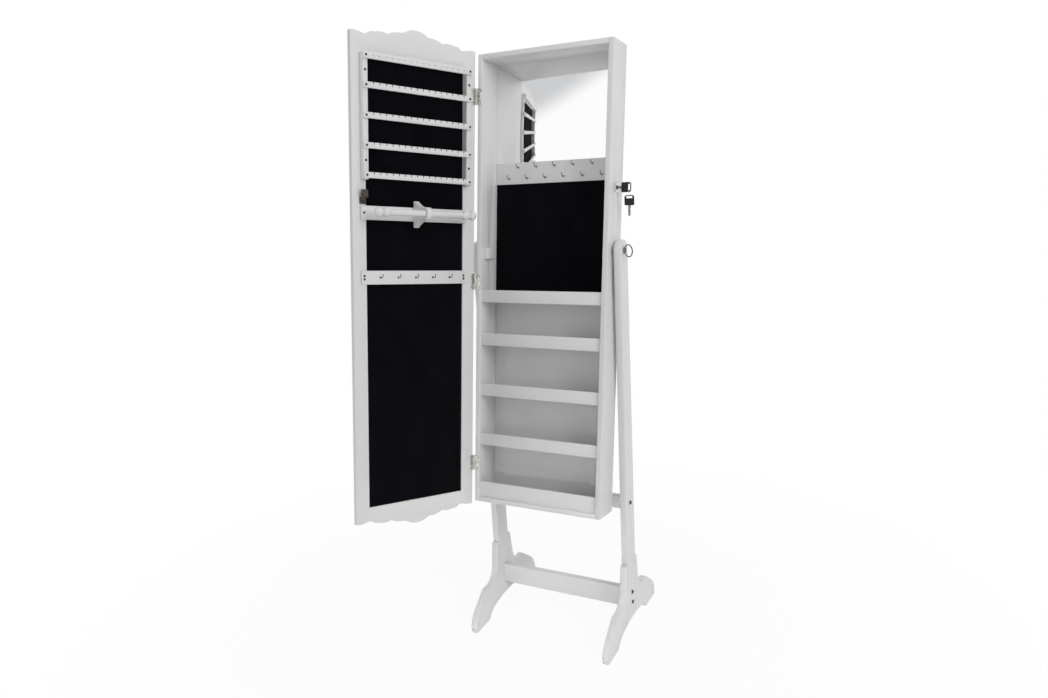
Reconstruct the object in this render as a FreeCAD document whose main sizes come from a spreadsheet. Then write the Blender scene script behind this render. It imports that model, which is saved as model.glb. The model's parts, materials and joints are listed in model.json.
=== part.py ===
import FreeCAD, Part
import os
import Sketcher
from FreeCAD import Placement, Rotation, Vector
from math import cos, pi, radians, sin
from types import SimpleNamespace

# A free-standing jewelry cabinet with a mirror door, in millimetres, +Z up.
# Origin: on the floor, under the middle of the whole cabinet with its door open. +X is to
# the right of someone who faces the cabinet, +Y is away from that person.
#
# Three frames are used. The stand is drawn about the point on the floor midway between
# its posts, which is right of the origin and behind it. The box of the cabinet is
# drawn from its own front, left, bottom corner, upright, and then tilted back about the
# tilt bolts. The door is drawn closed on the box and then swung open on its hinges.

doc = FreeCAD.newDocument("JewelryMirrorCabinet")

# ---------------------------------------------------------------- driving dimensions
SIZES = {
    # where the middle of the stand is from the origin
    "stand_right": 57.75, "stand_back": 150.92,
    # box of the cabinet
    "box_width": 370, "box_depth": 95, "box_height": 1200, "board": 13,
    "back_panel": 3, "glass": 4, "felt_board": 3,
    "mirror_bottom": 930, "hook_board_bottom": 874, "hook_board_thick": 6,
    "lip_setback": 5, "lip_thick": 6, "lip_height": 33, "low_lip_height": 44,
    "lip_round": 2, "shelf_thick": 6,
    "shelf_one": 557, "shelf_two": 440, "shelf_three": 301, "shelf_four": 162,
    # tilt: the bolts, the stand that carries them, and how far back the box leans
    "pivot_up_box": 695, "pivot_height": 1090, "tilt_angle": 10,
    "side_gap": 8, "post_thick": 18, "post_half_low": 32, "post_half_top": 27,
    "post_taper_start": 230, "arch_height": 34,
    "stretcher_low": 70, "stretcher_high": 130, "rail_half": 9,
    "crossbar_low": 377, "crossbar_high": 413,
    # foot outline, measured outwards from the middle of the post
    "foot_top": 216, "foot_top_out": 43, "foot_neck": 150, "foot_neck_out": 54,
    "foot_neck_bow": 14, "foot_step": 101, "foot_step_in": 103, "foot_step_out": 124,
    "toe_knee": 60, "toe_knee_out": 180, "toe_bow": 5, "toe_low": 14, "toe_out": 206,
    "sole_out": 202, "sole_in": 122, "arch_side_out": 84, "arch_side": 26, "arch_bow": 4,
    # bolts
    "bolt_radius": 3, "bolt_head_radius": 5.5, "bolt_head": 3, "bolt_length": 58,
    "bolt_hole_radius": 3.3, "nut_radius": 5, "nut_length": 14, "nut_inset": 28,
    "bolt_end_room": 2, "bolt_low": 84, "bolt_high": 116, "bolt_crossbar": 395,
    "tilt_shank_radius": 3.5, "tilt_hole_radius": 3.8, "tilt_head_radius": 7.5,
    "tilt_head": 5, "tilt_shank_end": 20, "ring_radius": 15, "ring_wire": 1.6,
    "ring_sunk": 2, "left_ring_turn": 180, "right_ring_turn": -33,
    "insert_radius": 5.5, "spacer_radius": 11, "running_gap": 0.2,
    "block_thick": 13, "left_block_front": 19, "right_block_front": 34, "block_back": 62,
    "block_low": 674, "block_high": 703, "block_hole_room": 1,
    # door
    "door_left": 1, "door_right": 373, "door_low": -7, "door_high": 1207,
    "door_thick": 14, "door_angle": 114, "hinge_x": -3, "hinge_gap": 3,
    "stile": 38, "window_low": 34, "window_high": 1148, "rebate": 8, "front_mirror": 4,
    "felt_recess": 3,
    "crest": 24, "lobe_one_out": 37, "lobe_one": 12.5, "lobe_two_out": 82, "lobe_two": 3.5,
    "lobe_three_out": 119, "lobe_three": 4, "lobe_four_out": 140, "notch_out": 151,
    "notch": -4, "notch_bow": 2.1, "lobe_bow": 3,
    # hinges
    "hinge_top": 1094, "hinge_middle": 612, "hinge_bottom": 110, "hinge_length": 42,
    "knuckle_radius": 3, "pin_radius": 1.4, "pin_hole_radius": 1.5, "leaf": 1.3,
    "leaf_out": 12, "knuckle_gap": 0.25,
    # earring rack, bracelet rod and hook rail on the door
    "rack_low": 862, "rack_high": 1158, "strip_width": 14, "strip_thick": 15,
    "rail_thick": 5, "rail_height": 14, "rail_first": 872, "rail_pitch": 70,
    "stud_bar_low": 1142, "notch_width": 2, "notch_depth": 5, "notch_pitch": 18,
    "stud_hole_radius": 1.5,
    "rod_board_low": 766, "rod_board_high": 800, "rod_board_thick": 8,
    "rod_board_left": 34, "rod_board_right": 352, "rod_stand_off": 57, "rod_radius": 8,
    "knob_radius": 12.5, "knob_length": 22, "knob_slope": 6, "rod_tip_radius": 5,
    "rod_groove": 1.5, "bead_radius": 12, "bead_length": 18, "bead_slope": 4.5,
    "rod_left": 42, "rod_right": 346,
    "bracket_middle": 194, "bracket_thick": 16, "bracket_half": 33,
    "bracket_tip": 4, "bracket_ring_radius": 16,
    "hook_rail_low": 608, "hook_rail_high": 642, "hook_rail_thick": 6,
    "hook_wire": 1.3, "hook_tip_wire": 1.2, "hook_reach": 13, "hook_rise": 9,
    "hook_pitch": 53, "collar_radius": 2.9, "collar_thick": 1, "upper_hooks": 917.5,
    "lower_hooks": 888.5, "screw_head_radius": 3, "screw_top_radius": 1.8,
    "screw_head": 1.2, "screw_inset": 7, "rail_screw_inset": 13,
    # lock and keys
    "lock_up_box": 850, "lock_radius": 9.3, "lock_flange_radius": 11.5,
    "lock_flange": 3, "lock_inside": 17, "plug_radius": 6, "plug_proud": 1,
    "cam_thick": 3, "cam_half": 5, "cam_reach": 44, "cam_finger": 41,
    "cam_finger_drop": 20, "strike_left": 335, "strike_right": 354, "strike_foot_low": 804,
    "strike_bend": 818, "strike_top": 838, "strike_rise": 12, "strike_sheet": 1.5,
    "key_blade": 2, "key_blade_half": 3.4, "key_blade_length": 27, "key_slot": 2.4,
    "blade_root": 2, "key_insert": 17, "keyway_room": 1, "bow_length": 25,
    "bow_half": 12.4, "bow_thick": 3.5,
    "bow_wall": 2.2, "bow_slot": 5.5, "bow_corner": 3, "key_ring_radius": 8.2,
    "key_ring_wire": 0.7, "ring_straight": 1.6, "ring_straight_radius": 0.75,
    "ring_rest_gap": 0.8, "spare_rest_gap": 0.4,
}


class Size:
    """A length that knows both its number and the spreadsheet formula it comes from."""

    def __init__(self, number, formula):
        self.number = float(number)
        self.formula = formula

    def join(self, other, sign, flip=False):
        other = as_size(other)
        first, second = (other, self) if flip else (self, other)
        number = {"+": first.number + second.number, "-": first.number - second.number,
                  "*": first.number * second.number}.get(sign)
        if sign == "/":
            number = first.number / second.number
        return Size(number, f"({first.formula} {sign} {second.formula})")

    def __add__(self, other):
        return self.join(other, "+")

    def __radd__(self, other):
        return self.join(other, "+", True)

    def __sub__(self, other):
        return self.join(other, "-")

    def __rsub__(self, other):
        return self.join(other, "-", True)

    def __mul__(self, other):
        return self.join(other, "*")

    def __rmul__(self, other):
        return self.join(other, "*", True)

    def __truediv__(self, other):
        return self.join(other, "/")

    def __neg__(self):
        return self.join(0, "-", True)


def as_size(value):
    return value if isinstance(value, Size) else Size(value, f"{float(value):.6g}")


sheet = doc.addObject("Spreadsheet::Sheet", "Sizes")
for row, (word, number) in enumerate(SIZES.items(), start=1):
    sheet.set(f"A{row}", word)
    sheet.set(f"B{row}", str(number))
    sheet.setAlias(f"B{row}", word)
doc.recompute()
d = SimpleNamespace(**{word: Size(number, f"Sizes.{word}") for word, number in SIZES.items()})

# ---------------------------------------------------------------- frames
X_AXIS, Y_AXIS, Z_AXIS = Vector(1, 0, 0), Vector(0, 1, 0), Vector(0, 0, 1)


def shift(x, y, z):
    return Placement(Vector(x, y, z), Rotation())


def turn(axis, degrees):
    return Placement(Vector(), Rotation(axis, degrees))


def turn_about(x, y, z, axis, degrees):
    return shift(x, y, z) * turn(axis, degrees) * shift(-x, -y, -z)


half_box = SIZES["box_width"] / 2
hinge_y = -SIZES["hinge_gap"] / 2
IN_STAND = shift(SIZES["stand_right"], SIZES["stand_back"], 0)
IN_BOX = (IN_STAND * shift(0, 0, SIZES["pivot_height"]) * turn(X_AXIS, -SIZES["tilt_angle"])
          * shift(-half_box, -SIZES["box_depth"] / 2, -SIZES["pivot_up_box"]))
IN_DOOR = IN_BOX * turn_about(SIZES["hinge_x"], hinge_y, 0, Z_AXIS, -SIZES["door_angle"])

# ---------------------------------------------------------------- building helpers
nodes = []


def keep(piece, label, frame):
    piece.Label = label
    piece.Placement = frame
    nodes.append(piece)
    return piece


def new_body(label, frame):
    return keep(doc.addObject("PartDesign::Body", label), label, frame)


def bind(target, name, value):
    value = as_size(value)
    if "Sizes." in value.formula:
        target.setExpression(name, value.formula)
    else:
        setattr(target, name, value.number)


def bind_corner(feature, corner):
    for letter, value in zip("xyz", corner):
        feature.setExpression(f"Placement.Base.{letter}", as_size(value).formula)


def slab(body, x, y, z, cut=False):
    """A rectangular block, or a rectangular cut, given as three pairs (low, high)."""
    kind = "PartDesign::SubtractiveBox" if cut else "PartDesign::AdditiveBox"
    block = body.newObject(kind, "Cut" if cut else "Block")
    for name, (low, high) in zip(("Length", "Width", "Height"), (x, y, z)):
        bind(block, name, as_size(high) - low)
    bind_corner(block, (x[0], y[0], z[0]))
    return block


TURNED = {"x": Rotation(Y_AXIS, 90), "y": Rotation(X_AXIS, -90), "z": Rotation()}


def cylinder(body, axis, start, length, radius, cut=False):
    """A round bar or a round hole that starts at a point and runs along +x, +y or +z."""
    kind = "PartDesign::SubtractiveCylinder" if cut else "PartDesign::AdditiveCylinder"
    bar = body.newObject(kind, "Hole" if cut else "Bar")
    bind(bar, "Radius", radius)
    bind(bar, "Height", length)
    bar.Placement = Placement(Vector(), TURNED[axis])
    bind_corner(bar, start)
    return bar


# how many flat facets a small round has, from wire and studs up to the bracelet rod
WIRE_SIDES, SMALL_SIDES, SLEEVE_SIDES, ROD_SIDES = 6, 8, 12, 24
QUARTER = 0.2929  # how far a quarter circle bows out, as a share of its radius


def around(radius, sides):
    """The corner radius of a faceted hole whose flats stand at this radius."""
    return radius / cos(pi / sides)


def faceted_hole(body, axis, start, length, radius, sides):
    """A hole with flat facets that meet at corners this far from its axis."""
    hole = body.newObject("PartDesign::SubtractivePrism", "Hole")
    hole.Polygon = sides
    bind(hole, "Circumradius", radius)
    bind(hole, "Height", length)
    hole.Placement = Placement(Vector(), TURNED[axis])
    bind_corner(hole, start)
    return hole


def sketch_on(body, plane, offset):
    """An empty sketch on one of the body's own planes, moved along the plane's normal."""
    role = {"xz": "XZ_Plane", "yz": "YZ_Plane", "xy": "XY_Plane"}[plane]
    base = [item for item in body.Origin.OriginFeatures if item.Role == role][0]
    sketch = body.newObject("Sketcher::SketchObject", "Profile")
    sketch.AttachmentSupport = [(base, "")]
    sketch.MapMode = "FlatFace"
    sketch.setExpression("AttachmentOffset.Base.z", as_size(offset).formula)
    return sketch


def fix_point(sketch, tag, edge, end, x, y):
    for kind, value in (("DistanceX", x), ("DistanceY", y)):
        value = as_size(value)
        index = sketch.addConstraint(
            Sketcher.Constraint(kind, -1, 1, edge, end, value.number))
        name = f"{tag}{kind[-1]}"
        sketch.renameConstraint(index, name)
        sketch.setExpression(f"Constraints.{name}", value.formula)


def close_loop(sketch, points, tag="p"):
    """Draws a closed loop. A point is (x, y) or (x, y, bow): the bow is how far the edge
    to the next point arches out to the left of its straight line."""
    ends = []
    corners = [tuple(as_size(v) for v in (list(point) + [0])[:3]) for point in points]
    for here, there in zip(corners, corners[1:] + corners[:1]):
        x0, y0, bow = here
        x1, y1 = there[:2]
        start = Vector(x0.number, y0.number, 0)
        end = Vector(x1.number, y1.number, 0)
        if abs(bow.number) < 1e-6:
            edge = sketch.addGeometry(Part.LineSegment(start, end))
            ends.append((edge, 1, 2))
            continue
        along = end - start
        left = Vector(-along.y, along.x, 0).normalize()
        middle = (start + end) * 0.5 + left * bow.number
        edge = sketch.addGeometry(Part.Arc(start, middle, end))
        first = 1 if sketch.getPoint(edge, 1).distanceToPoint(start) < 1e-6 else 2
        ends.append((edge, first, 3 - first))
        span, climb = x1 - x0, y1 - y0
        depth = bow if bow.number > 0 else -bow
        radius = (span * span + climb * climb) / (depth * 8) + depth / 2
        index = sketch.addConstraint(Sketcher.Constraint("Radius", edge, radius.number))
        name = f"{tag}{edge}Radius"
        sketch.renameConstraint(index, name)
        sketch.setExpression(f"Constraints.{name}", radius.formula)
    for number, (edge, first, last) in enumerate(ends):
        next_edge, next_first = ends[(number + 1) % len(ends)][:2]
        sketch.addConstraint(
            Sketcher.Constraint("Coincident", edge, last, next_edge, next_first))
        fix_point(sketch, f"{tag}{edge}", edge, first, *corners[number][:2])


def profile(body, plane, offset, thickness, points, cut=False):
    """Pads or pockets a closed outline. The solid grows along +X from a 'yz' outline,
    along +Z from an 'xy' outline and along -Y from an 'xz' outline."""
    sketch = sketch_on(body, plane, offset)
    close_loop(sketch, points)
    doc.recompute()
    kind = "PartDesign::Pocket" if cut else "PartDesign::Pad"
    feature = body.newObject(kind, "Pocket" if cut else "Pad")
    feature.Profile = sketch
    if cut:
        feature.Reversed = True
    bind(feature, "Length", thickness)
    return feature


def wire_ring(body, plane, centre, radius, wire, yaw=0):
    """A ring of wire. The sketch holds the wire's six-sided section, and the ring's axis
    is the sketch's upright axis, which yaw turns within the plane."""
    sketch = sketch_on(body, plane, 0)
    sketch.AttachmentOffset = Placement(Vector(), Rotation(Z_AXIS, yaw))
    for letter, value in zip("xy", centre):
        sketch.setExpression(f"AttachmentOffset.Base.{letter}", as_size(value).formula)
    angles = [2 * pi * step / WIRE_SIDES for step in range(WIRE_SIDES)]
    close_loop(sketch, [(radius + wire * round(cos(angle), 6), wire * round(sin(angle), 6))
                        for angle in angles])
    doc.recompute()
    ring = body.newObject("PartDesign::Revolution", "Ring")
    ring.Profile = sketch
    ring.ReferenceAxis = (sketch, ["V_Axis"])
    ring.Angle = 360


def group(label, frame, solids):
    """Identical pieces that share one node, each a solid of its own."""
    return keep_shape(label, frame, Part.makeCompound(solids))


def keep_shape(label, frame, shape):
    feature = doc.addObject("Part::Feature", label)
    feature.Shape = shape
    return keep(feature, label, frame)


def n(word):
    return SIZES[word]


DIRECTIONS = {"x": X_AXIS, "y": Y_AXIS, "z": Z_AXIS}


def spindle(axis, start, rings, sides):
    """A faceted turned piece along +x, +y or +z. Each ring is (distance, radius)."""
    facing = Rotation(Z_AXIS, DIRECTIONS[axis])
    angles = [2 * pi * step / sides for step in range(sides)]
    outlines = []
    for distance, radius in rings:
        corners = [start + facing.multVec(Vector(radius * cos(angle), radius * sin(angle),
                                                 distance)) for angle in angles]
        outlines.append(corners + corners[:1])
    facets = [outlines[0], outlines[-1]]
    for near, far in zip(outlines, outlines[1:]):
        facets += [[near[side], near[side + 1], far[side + 1], far[side], near[side]]
                   for side in range(sides)]
    faces = [Part.Face(Part.makePolygon(corners)) for corners in facets]
    return Part.makeSolid(Part.makeShell(faces))


def bar(axis, x, y, z, length, radius, sides=0):
    """A round bar along an axis, or one with this many flat facets."""
    start = Vector(x, y, z)
    if sides:
        return spindle(axis, start, [(0, radius), (length, radius)], sides)
    return Part.makeCylinder(radius, length, start, DIRECTIONS[axis])


# ---------------------------------------------------------------- stand
post_inner = d.box_width / 2 + d.side_gap
post_outer = post_inner + d.post_thick
SIDES = {"left": (-post_outer, -1), "right": (post_inner, 1)}
FRAME_BOLT_HEIGHTS = ("bolt_low", "bolt_high", "bolt_crossbar")


def make_post(side):
    """An upright board, wider below and rounded over at the tilt bolt."""
    start = SIDES[side][0]
    body = new_body(f"{side}_post", IN_STAND)
    profile(body, "yz", start, d.post_thick, [
        (-d.post_half_low, d.arch_height), (d.post_half_low, d.arch_height),
        (d.post_half_low, d.post_taper_start),
        (d.post_half_top, d.pivot_height, -d.post_half_top * QUARTER),
        (0, d.pivot_height + d.post_half_top, -d.post_half_top * QUARTER),
        (-d.post_half_top, d.pivot_height), (-d.post_half_low, d.post_taper_start)])
    cylinder(body, "x", (start, 0, d.pivot_height), d.post_thick, d.tilt_hole_radius, True)
    for word in FRAME_BOLT_HEIGHTS:
        faceted_hole(body, "x", (start, 0, getattr(d, word)), d.post_thick,
                     d.bolt_hole_radius, SMALL_SIDES)


def make_foot(side, end, sign):
    """One curved foot board, doweled to the front or the rear edge of a post."""
    body = new_body(f"{side}_{end}_foot", IN_STAND)
    outline = [
        (d.post_half_low, d.foot_top, 0), (d.foot_top_out, d.foot_top, 0),
        (d.foot_neck_out, d.foot_neck, -d.foot_neck_bow),
        (d.foot_step_in, d.foot_step, 0), (d.foot_step_out, d.foot_step, 0),
        (d.toe_knee_out, d.toe_knee, d.toe_bow),
        (d.toe_out, d.toe_low, 0), (d.sole_out, 0, 0), (d.sole_in, 0, -d.arch_bow),
        (d.arch_side_out, d.arch_side, 0), (d.post_half_low, d.arch_height, 0)]
    profile(body, "yz", SIDES[side][0], d.post_thick,
            [(as_size(out) * sign, up, as_size(bow) * sign) for out, up, bow in outline])


def make_frame_rail(label, low, high, bolt_words):
    """A board between the posts with a bolt hole and a nut bore at each end."""
    body = new_body(label, IN_STAND)
    slab(body, (-post_inner, post_inner), (-d.rail_half, d.rail_half), (low, high))
    depth = d.bolt_length - d.post_thick + d.bolt_end_room
    for word in bolt_words:
        height = getattr(d, word)
        for x in (-post_inner, post_inner - depth):
            faceted_hole(body, "x", (x, 0, height), depth, d.bolt_hole_radius, SMALL_SIDES)
        for x in (d.nut_inset - post_inner, post_inner - d.nut_inset):
            faceted_hole(body, "y", (x, d.rail_half - d.nut_length, height), d.nut_length,
                         d.nut_radius, SMALL_SIDES)


def frame_bolt_solids():
    """Flat round heads outside the posts, shanks that run into the nuts."""
    bolts, nuts = [], []
    outer, inner = post_outer.number, post_inner.number
    for word in FRAME_BOLT_HEIGHTS:
        z = n(word)
        for sign in (-1, 1):
            head = bar("x", outer if sign > 0 else -outer - n("bolt_head"), 0, z,
                       n("bolt_head"), n("bolt_head_radius"), SLEEVE_SIDES)
            start = outer - n("bolt_length") if sign > 0 else -outer
            shank = bar("x", start, 0, z, n("bolt_length"), n("bolt_radius"), WIRE_SIDES)
            bolts.append(head.fuse(shank).removeSplitter())
            x = sign * (inner - n("nut_inset"))
            nut = bar("y", x, n("rail_half") - n("nut_length"), z, n("nut_length"),
                      n("nut_radius"), SMALL_SIDES)
            nuts.append(nut.cut(shank))
    return bolts, nuts


def sleeve(x, y, z, length, radius):
    """A washer or bush with a round bore that a tilt bolt passes through."""
    bush = bar("x", x, y, z, length, radius, SLEEVE_SIDES)
    return bush.cut(bar("x", x, y, z, length, n("tilt_hole_radius")))


def make_stand():
    for side in SIDES:
        make_post(side)
        make_foot(side, "front", -1)
        make_foot(side, "rear", 1)
    make_frame_rail("lower_stretcher", d.stretcher_low, d.stretcher_high,
                    ("bolt_low", "bolt_high"))
    make_frame_rail("upper_crossbar", d.crossbar_low, d.crossbar_high, ("bolt_crossbar",))
    bolts, nuts = frame_bolt_solids()
    group("frame_bolts", IN_STAND, bolts)
    group("barrel_nuts", IN_STAND, nuts)
    washers = []
    for x in (-post_inner.number, n("box_width") / 2 + n("running_gap")):
        length = n("side_gap") - n("running_gap")
        washers.append(sleeve(x, 0, n("pivot_height"), length, n("spacer_radius")))
    group("pivot_spacers", IN_STAND, washers)


def make_tilt_bolt(side):
    """A clamping bolt with a round head and a wire ring to turn it by."""
    sign = SIDES[side][1]
    body = new_body(f"{side}_tilt_bolt", IN_STAND * shift(0, 0, n("pivot_height")))
    shank_start = post_outer - d.post_thick - d.side_gap - d.tilt_shank_end
    length = d.post_thick + d.side_gap + d.tilt_shank_end
    head_start = post_outer
    if sign < 0:
        shank_start = -post_outer
        head_start = -post_outer - d.tilt_head
    cylinder(body, "x", (shank_start, 0, 0), length, d.tilt_shank_radius)
    cylinder(body, "x", (head_start, 0, 0), d.tilt_head, d.tilt_head_radius)
    turned_by = n(f"{side}_ring_turn")
    eye = (post_outer + d.ring_sunk) * sign
    centre = (eye + d.ring_radius * cos(radians(turned_by)),
              d.ring_radius * round(sin(radians(turned_by)), 6))
    wire_ring(body, "xy", centre, d.ring_radius, d.ring_wire, turned_by)


# ---------------------------------------------------------------- box of the cabinet
inside_left = d.board
inside_right = d.box_width - d.board
INSIDE_X = (inside_left, inside_right)
back_front = d.box_depth - d.back_panel
mid_depth = d.box_depth / 2


def make_box():
    height = (0, d.box_height)
    for label, x in (("left_side", (0, d.board)), ("right_side", (inside_right, d.box_width))):
        body = new_body(label, IN_BOX)
        slab(body, x, (0, d.box_depth), height)
        faceted_hole(body, "x", (x[0], mid_depth, d.pivot_up_box), d.board, d.insert_radius,
                     SLEEVE_SIDES)
        if label == "right_side":
            cylinder(body, "x", (x[0], mid_depth, d.lock_up_box), d.board,
                     d.lock_radius, True)
    slab(new_body("top_board", IN_BOX), INSIDE_X, (0, d.box_depth),
         (d.box_height - d.board, d.box_height))
    slab(new_body("bottom_board", IN_BOX), INSIDE_X, (0, d.box_depth), (0, d.board))
    inner_height = (d.board, d.box_height - d.board)
    slab(new_body("back_board", IN_BOX), INSIDE_X, (back_front, d.box_depth), inner_height)


def make_linings():
    """Mirror, hook board and felt, one above the other on the back board."""
    slab(new_body("inner_mirror", IN_BOX), INSIDE_X, (back_front - d.glass, back_front),
         (d.mirror_bottom, d.box_height - d.board))
    slab(new_body("hook_board", IN_BOX), INSIDE_X,
         (back_front - d.hook_board_thick, back_front), (d.hook_board_bottom, d.mirror_bottom))
    slab(new_body("felt_panel", IN_BOX), INSIDE_X, (back_front - d.felt_board, back_front),
         (d.shelf_one + d.shelf_thick, d.hook_board_bottom))


SHELF_WORDS = ("shelf_one", "shelf_two", "shelf_three", "shelf_four")


def make_lip(label, low, height):
    """An upright board along the front of a shelf, its front top edge rounded."""
    body = new_body(label, IN_BOX)
    front, rear, top = d.lip_setback, d.lip_setback + d.lip_thick, as_size(low) + height
    profile(body, "yz", inside_left, inside_right - inside_left, [
        (front, low), (rear, low), (rear, top),
        (front + d.lip_round, top, -d.lip_round * QUARTER), (front, top - d.lip_round)])


def make_shelves():
    for number, word in enumerate(SHELF_WORDS, start=1):
        low = getattr(d, word)
        make_lip(f"shelf_lip_{number}", low, d.lip_height)
        slab(new_body(f"shelf_{number}", IN_BOX), INSIDE_X,
             (d.lip_setback + d.lip_thick, back_front), (low, low + d.shelf_thick))
    make_lip("bottom_lip", d.board, d.low_lip_height)


def hook_solid(x, y, z, direction):
    """A screw-in hook: a collar, a stem out of the board and an upturned tip."""
    wire, tip = n("hook_wire"), n("hook_tip_wire")
    stem_length = n("hook_reach") + tip
    stem_start = y if direction > 0 else y - stem_length
    collar_start = y if direction > 0 else y - n("collar_thick")
    stem = bar("y", x, stem_start, z, stem_length, wire, WIRE_SIDES)
    collar = bar("y", x, collar_start, z, n("collar_thick"), n("collar_radius"), WIRE_SIDES)
    rise = bar("z", x, y + direction * n("hook_reach"), z - wire / 2,
               n("hook_rise") + wire / 2, tip, WIRE_SIDES)
    return stem.fuse([collar, rise]).removeSplitter()


def screw_solid(x, y, z):
    """The head of a small wood screw, standing on a surface and narrowing towards +y."""
    rings = [(0, n("screw_head_radius")), (n("screw_head"), n("screw_top_radius"))]
    return spindle("y", Vector(x, y, z), rings, WIRE_SIDES)


def hook_row(count, middle):
    return [middle + (number - (count - 1) / 2) * n("hook_pitch") for number in range(count)]


def make_box_fittings():
    face = (back_front - d.hook_board_thick).number
    rows = ((5, n("upper_hooks")), (6, n("lower_hooks")))
    group("necklace_hooks", IN_BOX, [hook_solid(x, face, z, -1)
                                     for count, z in rows for x in hook_row(count, half_box)])
    # the bolt's end stops inside the block, in a hole that doesn't come through
    hole = d.tilt_shank_end - d.board + d.block_hole_room
    for side, x, hole_start in (
            ("left", (d.board, d.board + d.block_thick), d.board),
            ("right", (inside_right - d.block_thick, inside_right), inside_right - hole)):
        body = new_body(f"{side}_pivot_block", IN_BOX)
        slab(body, x, (getattr(d, f"{side}_block_front"), d.block_back),
             (d.block_low, d.block_high))
        faceted_hole(body, "x", (hole_start, mid_depth, d.pivot_up_box), hole,
                     around(d.tilt_hole_radius, SLEEVE_SIDES), SLEEVE_SIDES)
    group("threaded_inserts", IN_BOX, [
        sleeve(x, mid_depth.number, n("pivot_up_box"), n("board"), n("insert_radius"))
        for x in (0, inside_right.number)])


# ---------------------------------------------------------------- hinges
HINGE_WORDS = ("hinge_top", "hinge_middle", "hinge_bottom")
KNUCKLES = 5


def hinge_leaf(middle, on_door):
    """One leaf with its knuckles. The box leaf carries the outer and middle knuckles."""
    length, radius, gap = n("hinge_length"), n("knuckle_radius"), n("knuckle_gap")
    axis_x, low = n("hinge_x"), middle - length / 2
    pitch = length / KNUCKLES
    y0 = -n("hinge_gap") if on_door else -n("leaf")
    leaf = Part.makeBox(n("leaf_out") - axis_x, n("leaf"), length, Vector(axis_x, y0, low))
    for number in range(KNUCKLES):
        mine = (number % 2 == 1) == on_door
        start = low + number * pitch
        if mine:
            barrel = bar("z", axis_x, hinge_y, start + gap / 2, pitch - gap, radius,
                         SMALL_SIDES)
            leaf = leaf.fuse(barrel)
        else:
            room = bar("z", axis_x, hinge_y, start - gap / 2, pitch + gap,
                       around(radius + gap, SMALL_SIDES), SMALL_SIDES)
            leaf = leaf.cut(room)
    hole = bar("z", axis_x, hinge_y, low, length,
               around(n("pin_hole_radius"), SMALL_SIDES), SMALL_SIDES)
    return leaf.cut(hole).removeSplitter()


def make_hinges():
    middles = [n(word) for word in HINGE_WORDS]
    group("box_hinge_leaves", IN_BOX, [hinge_leaf(z, False) for z in middles])
    group("door_hinge_leaves", IN_DOOR, [hinge_leaf(z, True) for z in middles])
    length = n("hinge_length")
    group("hinge_pins", IN_BOX, [
        bar("z", n("hinge_x"), hinge_y, z - length / 2, length, n("pin_radius"))
        for z in middles])


# ---------------------------------------------------------------- door
door_inner = -d.hinge_gap
door_outer = door_inner - d.door_thick
door_middle = (d.door_left + d.door_right) / 2
window_left = d.door_left + d.stile
window_right = d.door_right - d.stile


def scalloped_edge(base, sign):
    """Half of an ornamental edge as (distance from the middle, height, bow)."""
    lobes = [(0, d.crest, d.lobe_bow), (d.lobe_one_out, d.lobe_one, d.lobe_bow),
             (d.lobe_two_out, d.lobe_two, d.lobe_bow),
             (d.lobe_three_out, d.lobe_three, d.lobe_bow),
             (d.lobe_four_out, d.notch, 0), (d.notch_out, d.notch, d.notch_bow)]
    return [(out, base + rise * sign, bow) for out, rise, bow in lobes]


def door_outline():
    """Clockwise seen from the front: top edge left to right, then bottom right to left."""
    top = scalloped_edge(d.door_high, 1)
    low = scalloped_edge(d.door_low, -1)
    points = [(d.door_left, d.door_high, top[5][2])]
    for number in range(5, 0, -1):
        points.append((door_middle - top[number][0], top[number][1], top[number - 1][2]))
    for out, up, bow in top:
        points.append((door_middle + out, up, bow))
    points.append((d.door_right, d.door_high, 0))
    points.append((d.door_right, d.door_low, low[5][2]))
    for number in range(5, 0, -1):
        points.append((door_middle + low[number][0], low[number][1], low[number - 1][2]))
    for out, up, bow in low:
        points.append((door_middle - out, up, bow))
    points.append((d.door_left, d.door_low, 0))
    return points


def make_door_panel():
    body = new_body("door_frame", IN_DOOR)
    profile(body, "xz", -door_inner, d.door_thick, door_outline())
    window_x, window_z = (window_left, window_right), (d.window_low, d.window_high)
    slab(body, window_x, (door_outer, door_inner), window_z, True)
    glass_x = (window_left - d.rebate, window_right + d.rebate)
    glass_z = (d.window_low - d.rebate, d.window_high + d.rebate)
    glass_y = (door_outer, door_outer + d.front_mirror)
    slab(body, glass_x, glass_y, glass_z, True)
    slab(new_body("door_mirror", IN_DOOR), glass_x, glass_y, glass_z)
    slab(new_body("door_felt_panel", IN_DOOR), window_x,
         (door_outer + d.front_mirror, door_inner - d.felt_recess), window_z)


RAILS = 4


def notch_places():
    count = int((n("door_right") - n("door_left") - 2 * n("stile")) // n("notch_pitch"))
    middle = door_middle.number
    return [middle + (number - (count - 1) / 2) * n("notch_pitch") for number in range(count)]


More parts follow.
